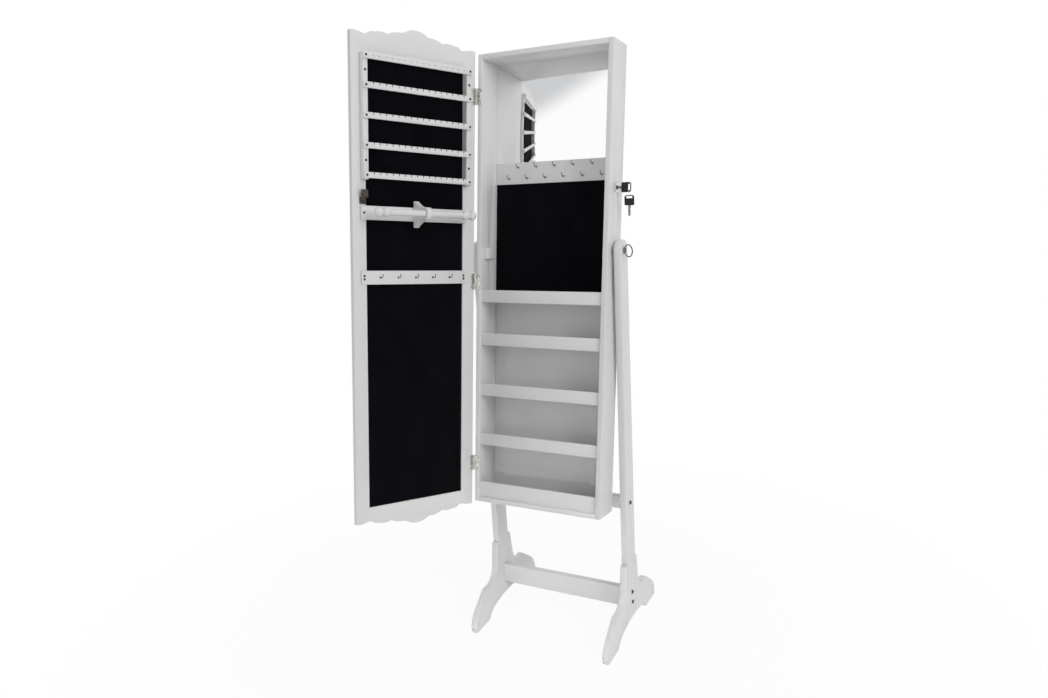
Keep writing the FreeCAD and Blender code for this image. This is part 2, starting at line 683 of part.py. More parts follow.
def make_earring_rack():
    """Two upright strips that carry a stud bar and four rails with notched top edges."""
    strip_front = door_inner + d.strip_thick
    left = (window_left - d.strip_width, window_left)
    right = (window_right, window_right + d.strip_width)
    for label, x in (("rack_strip_hinge_side", left), ("rack_strip_lock_side", right)):
        slab(new_body(label, IN_DOOR), x, (door_inner, strip_front), (d.rack_low, d.rack_high))
    rail_x = (left[0], right[1])
    rail_y = (strip_front, strip_front + d.rail_thick)
    for number in range(RAILS):
        middle = d.rail_first + d.rail_pitch * number
        low, high = middle - d.rail_height / 2, middle + d.rail_height / 2
        points = [(rail_x[0], low), (rail_x[0], high)]
        for x in notch_places():
            for side, level in ((-1, 0), (-1, -1), (1, -1), (1, 0)):
                points.append((x + d.notch_width * side / 2, high + d.notch_depth * level))
        points += [(rail_x[1], high), (rail_x[1], low)]
        body = new_body(f"earring_rail_{number + 1}", IN_DOOR)
        profile(body, "xz", -rail_y[1], d.rail_thick, points)
        body.Tip.Reversed = False
    body = new_body("stud_bar", IN_DOOR)
    slab(body, rail_x, rail_y, (d.stud_bar_low, d.rack_high))
    middle_z = (d.stud_bar_low + d.rack_high) / 2
    for x in notch_places():
        faceted_hole(body, "y", (x, rail_y[0], middle_z), d.rail_thick, d.stud_hole_radius,
                     WIRE_SIDES)


RING_CUT = 0.4  # where the bracket meets its round end, as a share of that end's radius


def make_rod_holder():
    """A board across the door, a fish-tail bracket on it and the turned bracelet rod."""
    board_front = door_inner + d.rod_board_thick
    axis_z = (d.rod_board_low + d.rod_board_high) / 2
    axis_y = d.rod_stand_off
    slab(new_body("rod_board", IN_DOOR), (d.rod_board_left, d.rod_board_right),
         (door_inner, board_front), (d.rod_board_low, d.rod_board_high))
    bracket = new_body("rod_bracket", IN_DOOR)
    start = d.bracket_middle - d.bracket_thick / 2
    shoulder = axis_y - d.bracket_ring_radius * RING_CUT
    half = d.bracket_ring_radius * (1 - RING_CUT ** 2) ** 0.5
    profile(bracket, "yz", start, d.bracket_thick, [
        (board_front, axis_z - d.bracket_half),
        (board_front + d.bracket_tip, axis_z - d.bracket_half, d.lobe_bow),
        (shoulder, axis_z - half, -d.bracket_ring_radius * (1 + RING_CUT)),
        (shoulder, axis_z + half, d.lobe_bow),
        (board_front + d.bracket_tip, axis_z + d.bracket_half),
        (board_front, axis_z + d.bracket_half)])
    faceted_hole(bracket, "x", (start, axis_y, axis_z), d.bracket_thick, d.rod_radius,
                 ROD_SIDES)
    left, length = n("rod_left"), n("rod_right") - n("rod_left")
    rings = rod_end() + [(length - along, radius) for along, radius in rod_end()[::-1]]
    keep_shape("bracelet_rod", IN_DOOR, spindle(
        "x", Vector(left, axis_y.number, axis_z.number), rings, ROD_SIDES))


def rod_end():
    """The turned end of the rod as (distance from its tip, radius): a knob, a groove and
    a bead."""
    knob, slope = n("knob_length"), n("bead_slope")
    bead_start = knob + n("rod_groove")
    bead_end = bead_start + n("bead_length")
    return [(0, n("rod_tip_radius")), (n("knob_slope"), n("knob_radius")),
            (knob - n("knob_slope"), n("knob_radius")), (knob, n("rod_radius")),
            (bead_start, n("rod_radius")), (bead_start + slope, n("bead_radius")),
            (bead_end - slope, n("bead_radius")), (bead_end, n("rod_radius"))]


def make_hook_rail():
    front = door_inner + d.hook_rail_thick
    slab(new_body("hook_rail", IN_DOOR), (d.rod_board_left, d.rod_board_right),
         (door_inner, front), (d.hook_rail_low, d.hook_rail_high))
    z = (n("hook_rail_low") + n("hook_rail_high")) / 2
    middle = (n("rod_board_left") + n("rod_board_right")) / 2
    group("rail_hooks", IN_DOOR, [hook_solid(x, front.number, z, 1)
                                  for x in hook_row(5, middle)])


def make_strike():
    """A Z-shaped plate: a foot on the door stile, a step out, and a tab for the cam."""
    body = new_body("lock_strike", IN_DOOR)
    foot_front = door_inner + d.strike_sheet
    tab_front = door_inner + d.strike_rise
    tab_back = tab_front - d.strike_sheet
    profile(body, "yz", d.strike_left, d.strike_right - d.strike_left, [
        (door_inner, d.strike_foot_low), (foot_front, d.strike_foot_low),
        (foot_front, d.strike_bend), (tab_front, d.strike_bend),
        (tab_front, d.strike_top), (tab_back, d.strike_top),
        (tab_back, d.strike_bend + d.strike_sheet), (door_inner, d.strike_bend + d.strike_sheet)])


def make_door_screws():
    rack_face = (door_inner + d.strip_thick + d.rail_thick).number
    strip_face = (door_inner + d.strip_thick).number
    half_strip = n("strip_width") / 2
    columns = (window_left.number - half_strip, window_right.number + half_strip)
    points = []
    heights = [n("rail_first") + number * n("rail_pitch") for number in range(RAILS)]
    for x in columns:
        points += [(x, rack_face, height) for height in heights]
        points.append((x, rack_face, (n("stud_bar_low") + n("rack_high")) / 2))
        for height in (heights[0], heights[-1]):
            points.append((x, strip_face, height + n("rail_pitch") / 2))
    board_face = (door_inner + d.rod_board_thick).number
    rail_face = (door_inner + d.hook_rail_thick).number
    for x in (n("rod_board_left") + n("screw_inset"), n("rod_board_right") - n("screw_inset")):
        points.append((x, board_face, (n("rod_board_low") + n("rod_board_high")) / 2))
        points.append((x, rail_face, n("hook_rail_high") - n("rail_screw_inset")))
        points.append((x, rail_face, n("hook_rail_low") + n("rail_screw_inset")))
    group("door_screws", IN_DOOR, [screw_solid(x, y, z) for x, y, z in points])


# ---------------------------------------------------------------- lock and keys
LOCK_TURN = -90


def make_lock():
    """A cylinder lock through the right side. The cam is drawn locked, with its arm
    towards the door, and kept unlocked, with its arm up."""
    z, y = d.lock_up_box, mid_depth
    outside = d.box_width
    inner_end = outside - d.lock_inside
    housing = new_body("lock_housing", IN_BOX)
    cylinder(housing, "x", (inner_end, y, z), d.lock_inside, d.lock_radius)
    cylinder(housing, "x", (outside, y, z), d.lock_flange, d.lock_flange_radius)
    cylinder(housing, "x", (inner_end, y, z), d.lock_inside + d.lock_flange,
             d.plug_radius, True)
    unlocked = IN_BOX * turn_about(0, y.number, z.number, X_AXIS, LOCK_TURN)
    face = outside + d.lock_flange + d.plug_proud
    plug = new_body("lock_plug", IN_BOX)
    cylinder(plug, "x", (inner_end, y, z), face - inner_end,
             d.plug_radius - d.running_gap)
    slot_half = d.key_blade_half + d.running_gap
    slab(plug, (face - d.key_insert - d.keyway_room, face),
         (y - d.key_slot / 2, y + d.key_slot / 2), (z - slot_half, z + slot_half), True)
    cam = new_body("lock_cam", unlocked)
    profile(cam, "yz", inner_end - d.cam_thick, d.cam_thick, [
        (y + d.plug_radius, z - d.cam_half), (y + d.plug_radius, z + d.cam_half),
        (y - d.cam_reach, z + d.cam_half), (y - d.cam_reach, z - d.cam_finger_drop),
        (y - d.cam_finger, z - d.cam_finger_drop), (y - d.cam_finger, z - d.cam_half)])


def key_outline_points(start, middle):
    """The plastic bow: a rounded block that ends in a wide slot for the ring."""
    half, end = d.bow_half, start + d.bow_length
    small, large = d.bow_corner, d.bow_corner * 2
    return [(start, middle - half + small, 0),
            (start, middle + half - small, small * QUARTER),
            (start + small, middle + half, 0),
            (end - large, middle + half, large * QUARTER),
            (end, middle + half - large, 0),
            (end, middle - half + large, large * QUARTER),
            (end - large, middle - half, 0),
            (start + small, middle - half, small * QUARTER)]


def make_key(label, frame):
    """A flat key along +X: blade first, then the bow. Its own origin is the bow's root."""
    body = new_body(label, frame)
    slab(body, (-d.key_blade_length, d.blade_root), (-d.key_blade / 2, d.key_blade / 2),
         (-d.key_blade_half, d.key_blade_half))
    profile(body, "xz", -d.bow_thick / 2, d.bow_thick, key_outline_points(as_size(0), 0))
    slot_end = d.bow_length - d.bow_wall
    slot_half = d.bow_half - d.bow_wall * 2
    slab(body, (slot_end - d.bow_slot, slot_end), (-d.bow_thick / 2, d.bow_thick / 2),
         (-slot_half, slot_half), True)
    return body


def make_keys():
    outside = n("box_width") + n("lock_flange") + n("plug_proud")
    bow_root = outside + n("key_blade_length") - n("key_insert")
    y, z = mid_depth.number, n("lock_up_box")
    make_key("key", IN_BOX * shift(bow_root, y, z))
    # the ring rests in the lower end of the slot and hangs straight down
    slot_middle = bow_root + n("bow_length") - n("bow_wall") - n("bow_slot") / 2
    slot_low = z - (n("bow_half") - 2 * n("bow_wall"))
    wire = n("key_ring_wire")
    top = IN_BOX.multVec(Vector(slot_middle, y, slot_low + wire + n("ring_rest_gap")))
    hang = shift(top.x, top.y, top.z)
    ring = new_body("key_ring", hang)
    wire_ring(ring, "xz", (0, -d.key_ring_radius), d.key_ring_radius, d.key_ring_wire, 90)
    # the wire runs straight where it hangs and where the spare key hangs on it
    for height in (as_size(0), d.key_ring_radius * -2):
        cylinder(ring, "y", (0, d.ring_straight / -2, height), d.ring_straight,
                 d.ring_straight_radius)
    drop = 2 * n("key_ring_radius") - wire - n("spare_rest_gap")
    root = drop - n("bow_wall") + n("bow_length")
    make_key("spare_key", hang * shift(0, 0, -root) * turn(Y_AXIS, -90))


# ---------------------------------------------------------------- build and write
make_stand()
for bolt_side in SIDES:
    make_tilt_bolt(bolt_side)
make_box()
make_linings()
make_shelves()
make_box_fittings()
make_hinges()
make_door_panel()
make_earring_rack()
make_rod_holder()
make_hook_rail()
make_strike()
make_door_screws()
make_lock()
make_keys()
doc.recompute()

faults = [item.Name for item in doc.Objects
          if "Invalid" in item.State or "Error" in item.State]
for piece in nodes:
    if piece.Shape.isNull() or not piece.Shape.isValid() or piece.Shape.Volume <= 0:
        faults.append(piece.Label)
if faults:
    raise RuntimeError("these did not build: " + ", ".join(faults))

os.makedirs("parts", exist_ok=True)
for piece in nodes:
    piece.Shape.exportStep(os.path.join("parts", piece.Label + ".step"))
    print(f"{piece.Label}: {len(piece.Shape.Solids)} solid(s), "
          f"{piece.Shape.Volume / 1000:.1f} cm3")
print(len(nodes), "nodes")
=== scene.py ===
# %% [markdown]
# A jewelry cabinet on a cheval stand, with its mirror door open
#
# The cabinet is a shallow white box that leans back between two posts. Its door carries a
# mirror outside and racks for earrings, bracelets and chains inside. The hard parts come
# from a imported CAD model, which loads as a fixed frame: every piece made here sits where
# that frame says, and rides on one of its moving bodies.

# %% Load the frame and keep its size
import json
from math import cos, pi, radians, sin

import bmesh
import bpy
from mathutils import Euler, Matrix, Vector


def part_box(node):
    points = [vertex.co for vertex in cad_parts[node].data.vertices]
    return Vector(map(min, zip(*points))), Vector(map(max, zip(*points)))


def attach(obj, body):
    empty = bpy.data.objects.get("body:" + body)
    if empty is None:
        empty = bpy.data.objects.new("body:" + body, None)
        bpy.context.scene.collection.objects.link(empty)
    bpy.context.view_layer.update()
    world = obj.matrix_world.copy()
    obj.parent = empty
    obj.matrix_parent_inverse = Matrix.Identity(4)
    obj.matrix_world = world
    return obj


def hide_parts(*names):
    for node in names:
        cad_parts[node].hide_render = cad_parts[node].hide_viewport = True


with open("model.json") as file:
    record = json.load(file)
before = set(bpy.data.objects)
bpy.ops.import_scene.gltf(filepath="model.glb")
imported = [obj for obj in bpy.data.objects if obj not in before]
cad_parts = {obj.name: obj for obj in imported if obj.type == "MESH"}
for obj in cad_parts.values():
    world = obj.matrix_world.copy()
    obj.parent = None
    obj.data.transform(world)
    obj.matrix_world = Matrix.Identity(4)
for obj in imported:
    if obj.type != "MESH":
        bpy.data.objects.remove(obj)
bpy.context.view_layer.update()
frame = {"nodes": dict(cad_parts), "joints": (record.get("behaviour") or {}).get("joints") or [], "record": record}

MM = 0.001
record = frame["record"]
body_of = {node: body for body, nodes in record["behaviour"]["bodies"].items() for node in nodes}
slot_of = {part["node"]: part["material_slot"] for part in record["subparts"]}
joints = {joint["name"]: joint for joint in frame["joints"]}
pivot = Vector(joints["cabinet_tilt"]["pos_m"])
STAND_FOOT = Vector((pivot.x, pivot.y, 0))

# %% [markdown]
# The camera
#
# The photograph was taken from the right, at a height of 1.4 m and looking a little down,
# with a short lens. Its place and focal length were worked out from the corners of the box,
# the shelves and the feet, and are measured from the point on the floor between the posts.
# The lens axis isn't at the middle of the picture, so the sensor is shifted by a few
# hundredths of its width.

# %% Camera
PICTURE_WIDTH = 1048
SENSOR = 36.0
FOCAL_PIXELS = 854.5
AXIS_PIXEL = (452.7, 396.0)
PICTURE_CENTRE = (524, 349)
CAMERA_PLACE = Vector((0.9357, -2.0781, 1.4183))
CAMERA_TURN = Euler((radians(72.605), radians(4.821), radians(29.834)))
NEAREST = 0.05

lens = bpy.data.cameras.new("camera")
lens.sensor_width = SENSOR
lens.lens = FOCAL_PIXELS / PICTURE_WIDTH * SENSOR
lens.shift_x = (PICTURE_CENTRE[0] - AXIS_PIXEL[0]) / PICTURE_WIDTH
lens.shift_y = (AXIS_PIXEL[1] - PICTURE_CENTRE[1]) / PICTURE_WIDTH
lens.clip_start = NEAREST
camera = bpy.data.objects.new("camera", lens)
camera.location = STAND_FOOT + CAMERA_PLACE
camera.rotation_euler = CAMERA_TURN
bpy.context.scene.collection.objects.link(camera)
bpy.context.scene.camera = camera
bpy.context.scene.view_settings.view_transform = "Standard"
print("lens", round(lens.lens, 1), "mm")

# %% [markdown]
# Writing shaders and node trees as short expressions
#
# A node tree built call by call is hard to read. One class keeps a tree and adds any node
# with its settings and its sockets. A second one wraps an output, so that sums and products
# of numbers are written as in arithmetic and add their own Math nodes.


# %% Node helpers
class Number:
    """An output socket that can stand in a sum or a product."""

    def __init__(self, graph, socket):
        self.graph = graph
        self.socket = socket

    def join(self, operation, first, second):
        return self.graph.node(self.graph.math_node, {"operation": operation},
                               {0: first, 1: second})

    def __add__(self, other):
        return self.join("ADD", self, other)

    __radd__ = __add__

    def __sub__(self, other):
        return self.join("SUBTRACT", self, other)

    def __rsub__(self, other):
        return self.join("SUBTRACT", other, self)

    def __mul__(self, other):
        return self.join("MULTIPLY", self, other)

    __rmul__ = __mul__

    def __gt__(self, other):
        return self.join("GREATER_THAN", self, other)


class Graph:
    """A node tree that grows one node at a time."""

    math_node = "ShaderNodeMath"

    def __init__(self, tree):
        self.tree = tree
        tree.nodes.clear()

    def node(self, kind, settings=None, sockets=None, output=0):
        """Adds a node: its settings first, then the values or links of its sockets."""
        made = self.tree.nodes.new(kind)
        for name, value in (settings or {}).items():
            setattr(made, name, value)
        for name, value in (sockets or {}).items():
            if isinstance(value, Number):
                self.tree.links.new(value.socket, made.inputs[name])
            else:
                made.inputs[name].default_value = value
        return Number(self, made.outputs[output]) if made.outputs else None


# A colour mix keeps these places among its sockets, whose names it shares with number mixes.
MIX_FACTOR, MIX_FIRST, MIX_SECOND, MIX_RESULT = 0, 6, 7, 2


class Finish(Graph):
    """A material that ends in one Principled shader."""

    def __init__(self, name):
        self.material = bpy.data.materials.new(name)
        self.material.use_nodes = True
        super().__init__(self.material.node_tree)
        self.place = self.node("ShaderNodeTexCoord", output="Object")

    def noise(self, per_metre, detail=2.0, roughness=0.5, stretch=(1, 1, 1)):
        """Smooth noise from 0 to 1 with this many blobs in a metre."""
        place = self.node("ShaderNodeMapping", {}, {"Vector": self.place, "Scale": stretch})
        return self.node("ShaderNodeTexNoise", {}, {
            "Vector": place, "Scale": per_metre, "Detail": detail, "Roughness": roughness})

    def ramp(self, value, low, high):
        """Spreads the values between low and high over 0 to 1."""
        return self.node("ShaderNodeMapRange", {"clamp": True}, {
            "Value": value, "From Min": low, "From Max": high})

    def blend(self, factor, first, second):
        """Mixes two colours."""
        return self.node("ShaderNodeMix", {"data_type": "RGBA"}, {
            MIX_FACTOR: factor, MIX_FIRST: first, MIX_SECOND: second}, output=MIX_RESULT)

    def bump(self, height, depth):
        """A bump this many metres deep where the height goes from 0 to 1."""
        return self.node("ShaderNodeBump", {}, {
            "Height": height, "Distance": depth, "Strength": 1.0})

    def shade(self, **sockets):
        """Ends the tree. A socket's name is written with underscores for its spaces."""
        named = {name.replace("_", " "): value for name, value in sockets.items()}
        shader = self.node("ShaderNodeBsdfPrincipled", {}, named)
        self.node("ShaderNodeOutputMaterial", {}, {"Surface": shader})
        return self.material


def colour(red, green, blue):
    """A colour as seen on screen, 0 to 255, in the linear values that shaders use."""
    def linear(value):
        value /= 255
        return value / 12.92 if value <= 0.04045 else ((value + 0.055) / 1.055) ** 2.4
    return linear(red), linear(green), linear(blue), 1.0


# %% [markdown]
# White lacquer
#
# The boards are fibreboard under sprayed satin lacquer. Sprayed lacquer is never a perfect
# plane: it dries with a faint orange peel, and its gloss wanders a little from place to
# place. So the colour barely moves, and the roughness and the bump do the work. Where a
# piece marks the faces of its sawn notches, a dark brown-grey is painted in as the shade
# inside them.


# %% Lacquer
CLOUDS, PEEL, DUST, GLOSS_PATCHES, NOTCH_MOTTLE = 7, 520, 1700, 24, 900    # blobs per metre
PEEL_DEPTH = 0.06 * MM


def make_lacquer():
    finish = Finish("white lacquer")
    cloud = finish.noise(CLOUDS, detail=3)
    peel = finish.noise(PEEL, detail=1)
    dust = finish.ramp(finish.noise(DUST, detail=0), 0.70, 0.78)
    tone = finish.blend(cloud, colour(220, 220, 220), colour(227, 227, 226))
    tone = finish.blend(dust * 0.12, tone, colour(196, 196, 196))
    # Painted shade: the notch walls and floors that a rail marks take a dark brown-grey, mottled by noise, in
    # place of the shade inside the notches.
    notch_shade = finish.node("ShaderNodeAttribute", {"attribute_name": "painted_notch_shade"}, output="Fac")
    notch_shade_tone = finish.blend(finish.noise(NOTCH_MOTTLE, detail=2), colour(70, 64, 56), colour(98, 90, 80))
    tone = finish.blend(notch_shade, tone, notch_shade_tone)
    gloss = finish.ramp(finish.noise(GLOSS_PATCHES, detail=2), 0.3, 0.7) * 0.1 + 0.36
    return finish.shade(Base_Color=tone, Roughness=gloss + dust * 0.1 + notch_shade * 0.4,
                        Coat_Weight=0.15, Coat_Roughness=0.3,
                        Normal=finish.bump(peel, PEEL_DEPTH))


LACQUER = make_lacquer()
print(LACQUER.name, "has", len(LACQUER.node_tree.nodes), "nodes")

# %% [markdown]
# Black felt
#
# The linings are a thin black pile glued to board. Pile scatters light at its tips, so it
# looks matt with a soft rim, and it never lies quite even: broad patches brush one way or
# the other, fine fibres break the surface, and a few bits of pale lint stick to it.


# %% Felt
BRUSHED, FIBRE, TUFT, LINT = 16, 2600, 700, 1100    # blobs per metre
PILE_DEPTH = 0.5 * MM


def make_felt():
    finish = Finish("black felt")
    brushed = finish.ramp(finish.noise(BRUSHED, detail=3, stretch=(1, 1, 0.5)), 0.35, 0.65)
    fibre = finish.noise(FIBRE, detail=2, roughness=0.7)
    tuft = finish.noise(TUFT, detail=2)
    lint = finish.ramp(finish.noise(LINT, detail=1), 0.76, 0.80)
    tone = finish.blend(brushed * 0.6 + fibre * 0.4, colour(3, 3, 7), colour(10, 10, 16))
    tone = finish.blend(lint * 0.25, tone, colour(96, 96, 102))
    return finish.shade(Base_Color=tone, Roughness=0.92, Specular_IOR_Level=0.06,
                        Sheen_Weight=0.04, Sheen_Roughness=0.5,
                        Normal=finish.bump(fibre * 0.6 + tuft * 0.4, PILE_DEPTH))


FELT = make_felt()
print(FELT.name, "has", len(FELT.node_tree.nodes), "nodes")

# %% [markdown]
# Mirror glass and metals
#
# A mirror is a polished metal film behind glass. Here it is a metal with a near white
# colour and almost no roughness, broken by a faint haze. The fittings are cheap plated
# steel: bright nickel on the hinges and the split ring, a duller one on the hooks, an aged,
# browner plate on the strike, and dark steel for the screws, the lock and the bolt rings.


# %% Glass and metals
HAZE, STAIN, RUB, MOULD_CLOUDS, MOULD_PITS = 9, 210, 90, 60, 2400    # blobs per metre


def make_mirror():
    finish = Finish("mirror")
    haze = finish.ramp(finish.noise(HAZE, detail=4, roughness=0.6), 0.5, 0.9)
    tone = finish.blend(haze * 0.25, colour(252, 252, 253), colour(240, 242, 244))
    return finish.shade(Base_Color=tone, Metallic=1.0, Roughness=haze * 0.02 + 0.012)


def make_metal(name, light, dark, smooth, rough, grain, depth):
    """A plated metal: stained between two colours, with a fine grain."""
    finish = Finish(name)
    stain = finish.ramp(finish.noise(STAIN, detail=4, roughness=0.6), 0.35, 0.68)
    scratch = finish.noise(grain, detail=3, stretch=(1, 1, 0.08))
    rub = finish.ramp(finish.noise(RUB, detail=2), 0.3, 0.7)
    tone = finish.blend(stain, colour(*dark), colour(*light))
    gloss = rub * (rough - smooth) + smooth
    return finish.shade(Base_Color=tone, Metallic=1.0, Roughness=gloss,
                        Normal=finish.bump(scratch, depth))


def make_plastic(name, tone, other, roughness, depth):
    """A moulded plastic with a fine spark-eroded texture."""
    finish = Finish(name)
    cloud = finish.noise(MOULD_CLOUDS, detail=2)
    pits = finish.noise(MOULD_PITS, detail=1)
    shade = finish.blend(cloud, colour(*tone), colour(*other))
    gloss = finish.ramp(pits, 0.2, 0.8) * 0.12 + roughness
    return finish.shade(Base_Color=shade, Roughness=gloss, Specular_IOR_Level=0.35,
                        Normal=finish.bump(pits, depth))


MIRROR = make_mirror()
# Each metal: its light and dark colours, least and most roughness, grain per metre, depth.
DARK_NICKEL = make_metal("aged nickel", (102, 96, 87), (60, 56, 49), 0.3, 0.46, 2600, 0.02 * MM)
HINGE_NICKEL = make_metal("hinge nickel", (236, 234, 230), (186, 183, 178), 0.18, 0.34,
                          2600, 0.02 * MM)
CHROME = make_metal("bright nickel", (236, 236, 235), (196, 195, 193), 0.08, 0.2, 3200, 0.006 * MM)
HOOK_NICKEL = make_metal("hook nickel", (162, 160, 156), (98, 96, 93), 0.15, 0.3, 3000, 0.01 * MM)
BLADE_STEEL = make_metal("key steel", (158, 154, 146), (112, 108, 102), 0.2, 0.34, 2800, 0.02 * MM)
ZINC = make_metal("zinc plate", (182, 184, 186), (150, 152, 156), 0.3, 0.5, 2200, 0.02 * MM)
SCREW_STEEL = make_metal("screw steel", (70, 68, 66), (38, 36, 35), 0.28, 0.45, 3000, 0.02 * MM)
RING_STEEL = make_metal("ring steel", (98, 96, 92), (62, 60, 58), 0.2, 0.34, 3000, 0.01 * MM)
BLACK_PLASTIC = make_plastic("black plastic", (16, 16, 18), (24, 24, 26), 0.4, 0.03 * MM)
NYLON = make_plastic("white nylon", (214, 214, 212), (224, 224, 222), 0.42, 0.02 * MM)
FINISHES = {"white_lacquer": LACQUER, "black_felt": FELT, "silver_mirror": MIRROR,
            "dark_nickel": DARK_NICKEL, "bright_chrome": CHROME, "zinc_steel": ZINC,
            "black_plastic": BLACK_PLASTIC, "clear_nylon": NYLON}
print(len(FINISHES), "finishes")

# %% [markdown]
# Three places to work in
#
# The stand is upright, the box leans back about its tilt bolts, and the door is turned
# again about its hinges. Details are easier to place in the upright, closed position, so
# each moving part gets a matrix that carries a point from there to where it is at rest.

# %% Places
LEAN = radians(10)
DOOR_OPEN = radians(114)
BOX_CORNER = Vector((-185, -47.5, -695)) * MM
HINGE_LINE = Vector((-3, -1.5, 0)) * MM

STAND = Matrix.Translation(STAND_FOOT)
BOX = (Matrix.Translation(pivot) @ Matrix.Rotation(-LEAN, 4, "X")
       @ Matrix.Translation(BOX_CORNER))
DOOR = (BOX @ Matrix.Translation(HINGE_LINE) @ Matrix.Rotation(-DOOR_OPEN, 4, "Z")
        @ Matrix.Translation(-HINGE_LINE))
WELD, FLAT = 0.02 * MM, radians(0.5)


def merged_copy(node):
    """A node's shape as whole faces instead of loose triangles."""
    shape = bmesh.new()
    shape.from_mesh(frame["nodes"][node].data)
    bmesh.ops.remove_doubles(shape, verts=shape.verts, dist=WELD)
    bmesh.ops.dissolve_limit(shape, angle_limit=FLAT, verts=shape.verts,
                             edges=shape.edges)
    return shape


def span(points):
    """The lowest and the highest corner of some points."""
    low = Vector([min(point[axis] for point in points) for axis in range(3)])
    high = Vector([max(point[axis] for point in points) for axis in range(3)])
    return low, high


def solids_of(node, place):
    """The box of each separate solid in a node, measured upright and closed."""
    shape = merged_copy(node)
    home = place.inverted()
    left = set(shape.verts)
    boxes = []
    while left:
        edge = [left.pop()]
        island = list(edge)
        while edge:
            near = {link.other_vert(vert) for vert in edge for link in vert.link_edges} & left
            left -= near
            edge = list(near)
            island += edge
        boxes.append(span([home @ vert.co for vert in island]))
    shape.free()
    return sorted(boxes, key=lambda box: (round(box[0].z, 4), box[0].x))


door_low, door_high = solids_of("door_frame", DOOR)[0]
print("the door is", [round(side, 3) for side in door_high - door_low], "m")

# %% [markdown]
# Boards with soft edges
#
# No painted board has a knife edge: sanding and lacquer round it by half a millimetre or
# more, and that rounding is what catches the light along every edge in the photograph. A
# copy of each CAD board gets a real bevel and takes the place of the sharp one. Mirrors,
# lock and hinges get finer edges in the same way.


# %% Soft edges
def add_piece(name, mesh, body, slot, *replaced):
    """Puts a finished mesh in the scene, on its body, in place of CAD nodes."""
    piece = bpy.data.objects.new(name, mesh)
    bpy.context.scene.collection.objects.link(piece)
    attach(piece, body)
    if replaced:
        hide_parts(*replaced)
    return piece


def baked(source):
    """The plain mesh that an object's modifiers or curve settings give."""
    bpy.context.scene.collection.objects.link(source)
    view = bpy.context.evaluated_depsgraph_get()
    mesh = bpy.data.meshes.new_from_object(source.evaluated_get(view), depsgraph=view)
    bpy.data.objects.remove(source)
    return mesh


def smooth(mesh, material, angle=35):
    """Smooth shading with real creases left sharp, and one material."""
    mesh.shade_smooth()
    mesh.set_sharp_from_angle(angle=radians(angle))
    mesh.materials.clear()
    mesh.materials.append(material)
    return mesh


def plain(shape, name="plain"):
    """Ends the work on a shape and returns it as a mesh."""
    mesh = bpy.data.meshes.new(name)
    shape.to_mesh(mesh)
    shape.free()
    return mesh


BEVEL_FROM, BEVEL_STEPS = radians(38), 2


def with_bevel(shape, radius):
    """A mesh whose sharp edges are rounded to this radius."""
    source = bpy.data.objects.new("rounded", plain(shape, "rounded"))
    bevel = source.modifiers.new("Bevel", "BEVEL")
    bevel.width = radius
    bevel.segments = BEVEL_STEPS
    bevel.limit_method = "ANGLE"
    bevel.angle_limit = BEVEL_FROM
    bevel.use_clamp_overlap = False
    return baked(source)


def soften(node, radius, material=None):
    """A node's shape with rounded edges, in its own finish unless another is given."""
    mesh = with_bevel(merged_copy(node), radius)
    slot = slot_of[node]
    smooth(mesh, material or FINISHES[slot])
    return add_piece(node + "_finished", mesh, body_of[node], slot, node)


FACING = 0.7    # a normal with this much of an axis in it faces along that axis


def mark_notch_shade(rail):
    """Marks the walls and floors of the earring notches, which the lacquer colours a dark brown-grey as painted
    shade.
    """
    home = DOOR.inverted()
    low, high = span([home @ vert.co for vert in rail.data.vertices])
    notch_shade = rail.data.attributes.new("painted_notch_shade", "FLOAT", "FACE")
    for face in rail.data.polygons:
        place, facing = home @ face.center, home.to_3x3() @ face.normal
        wall = abs(facing.x) > FACING and low.x + MM < place.x < high.x - MM
        floor = facing.z > FACING and place.z < high.z - MM
        notch_shade.data[face.index].value = float(wall or floor)


ROUND_EDGE = {"rail": 0.2 * MM, "lip": 0.8 * MM, "strip": 0.8 * MM, "bar": 0.4 * MM,
              "shelf": 0.5 * MM, "bracket": 1.8 * MM, "foot": 1.6 * MM, "post": 1.6 * MM}
BOARD_EDGE, GLASS_EDGE, LOCK_EDGE = 0.9 * MM, 0.4 * MM, 0.4 * MM
SHEET_EDGE, INSERT_EDGE = 0.2 * MM, 0.3 * MM
TURNED = ("bracelet_rod",)
boards = [node for node, slot in slot_of.items()
          if slot == "white_lacquer" and node not in TURNED]
for board in boards:
    edge_radius = next((size for word, size in ROUND_EDGE.items() if word in board), BOARD_EDGE)
    piece = soften(board, edge_radius)
    # The earring rails mark their notch faces for the painted shade in the lacquer.
    if board.startswith("earring_rail"):
        mark_notch_shade(piece)
for node in ("inner_mirror", "door_mirror"):
    soften(node, GLASS_EDGE)
for node in ("lock_housing", "lock_cam"):
    soften(node, LOCK_EDGE)
soften("lock_plug", LOCK_EDGE, RING_STEEL)
soften("lock_strike", SHEET_EDGE)
for node in ("box_hinge_leaves", "door_hinge_leaves", "hinge_pins"):
    soften(node, SHEET_EDGE, HINGE_NICKEL)
for node in ("threaded_inserts", "barrel_nuts", "pivot_spacers"):
    soften(node, INSERT_EDGE)
print(len(boards), "boards")

# %% [markdown]
# Felt linings
#
# The felt is glued to a thin board, so it is flat but not dead flat: the glue pulls it
# down in places, and the pile rounds over at the border. A fine grid that rises and falls
# by a fraction of a millimetre gives the light something to run over.


# %% Felt panels
COLUMNS = 40
BORDER, BORDER_SINK = 3 * MM, 0.9 * MM
WAVES, WAVE_HEIGHT, WAVE_SINK = ((31, 11), (17, -23)), 0.12 * MM, 0.3 * MM


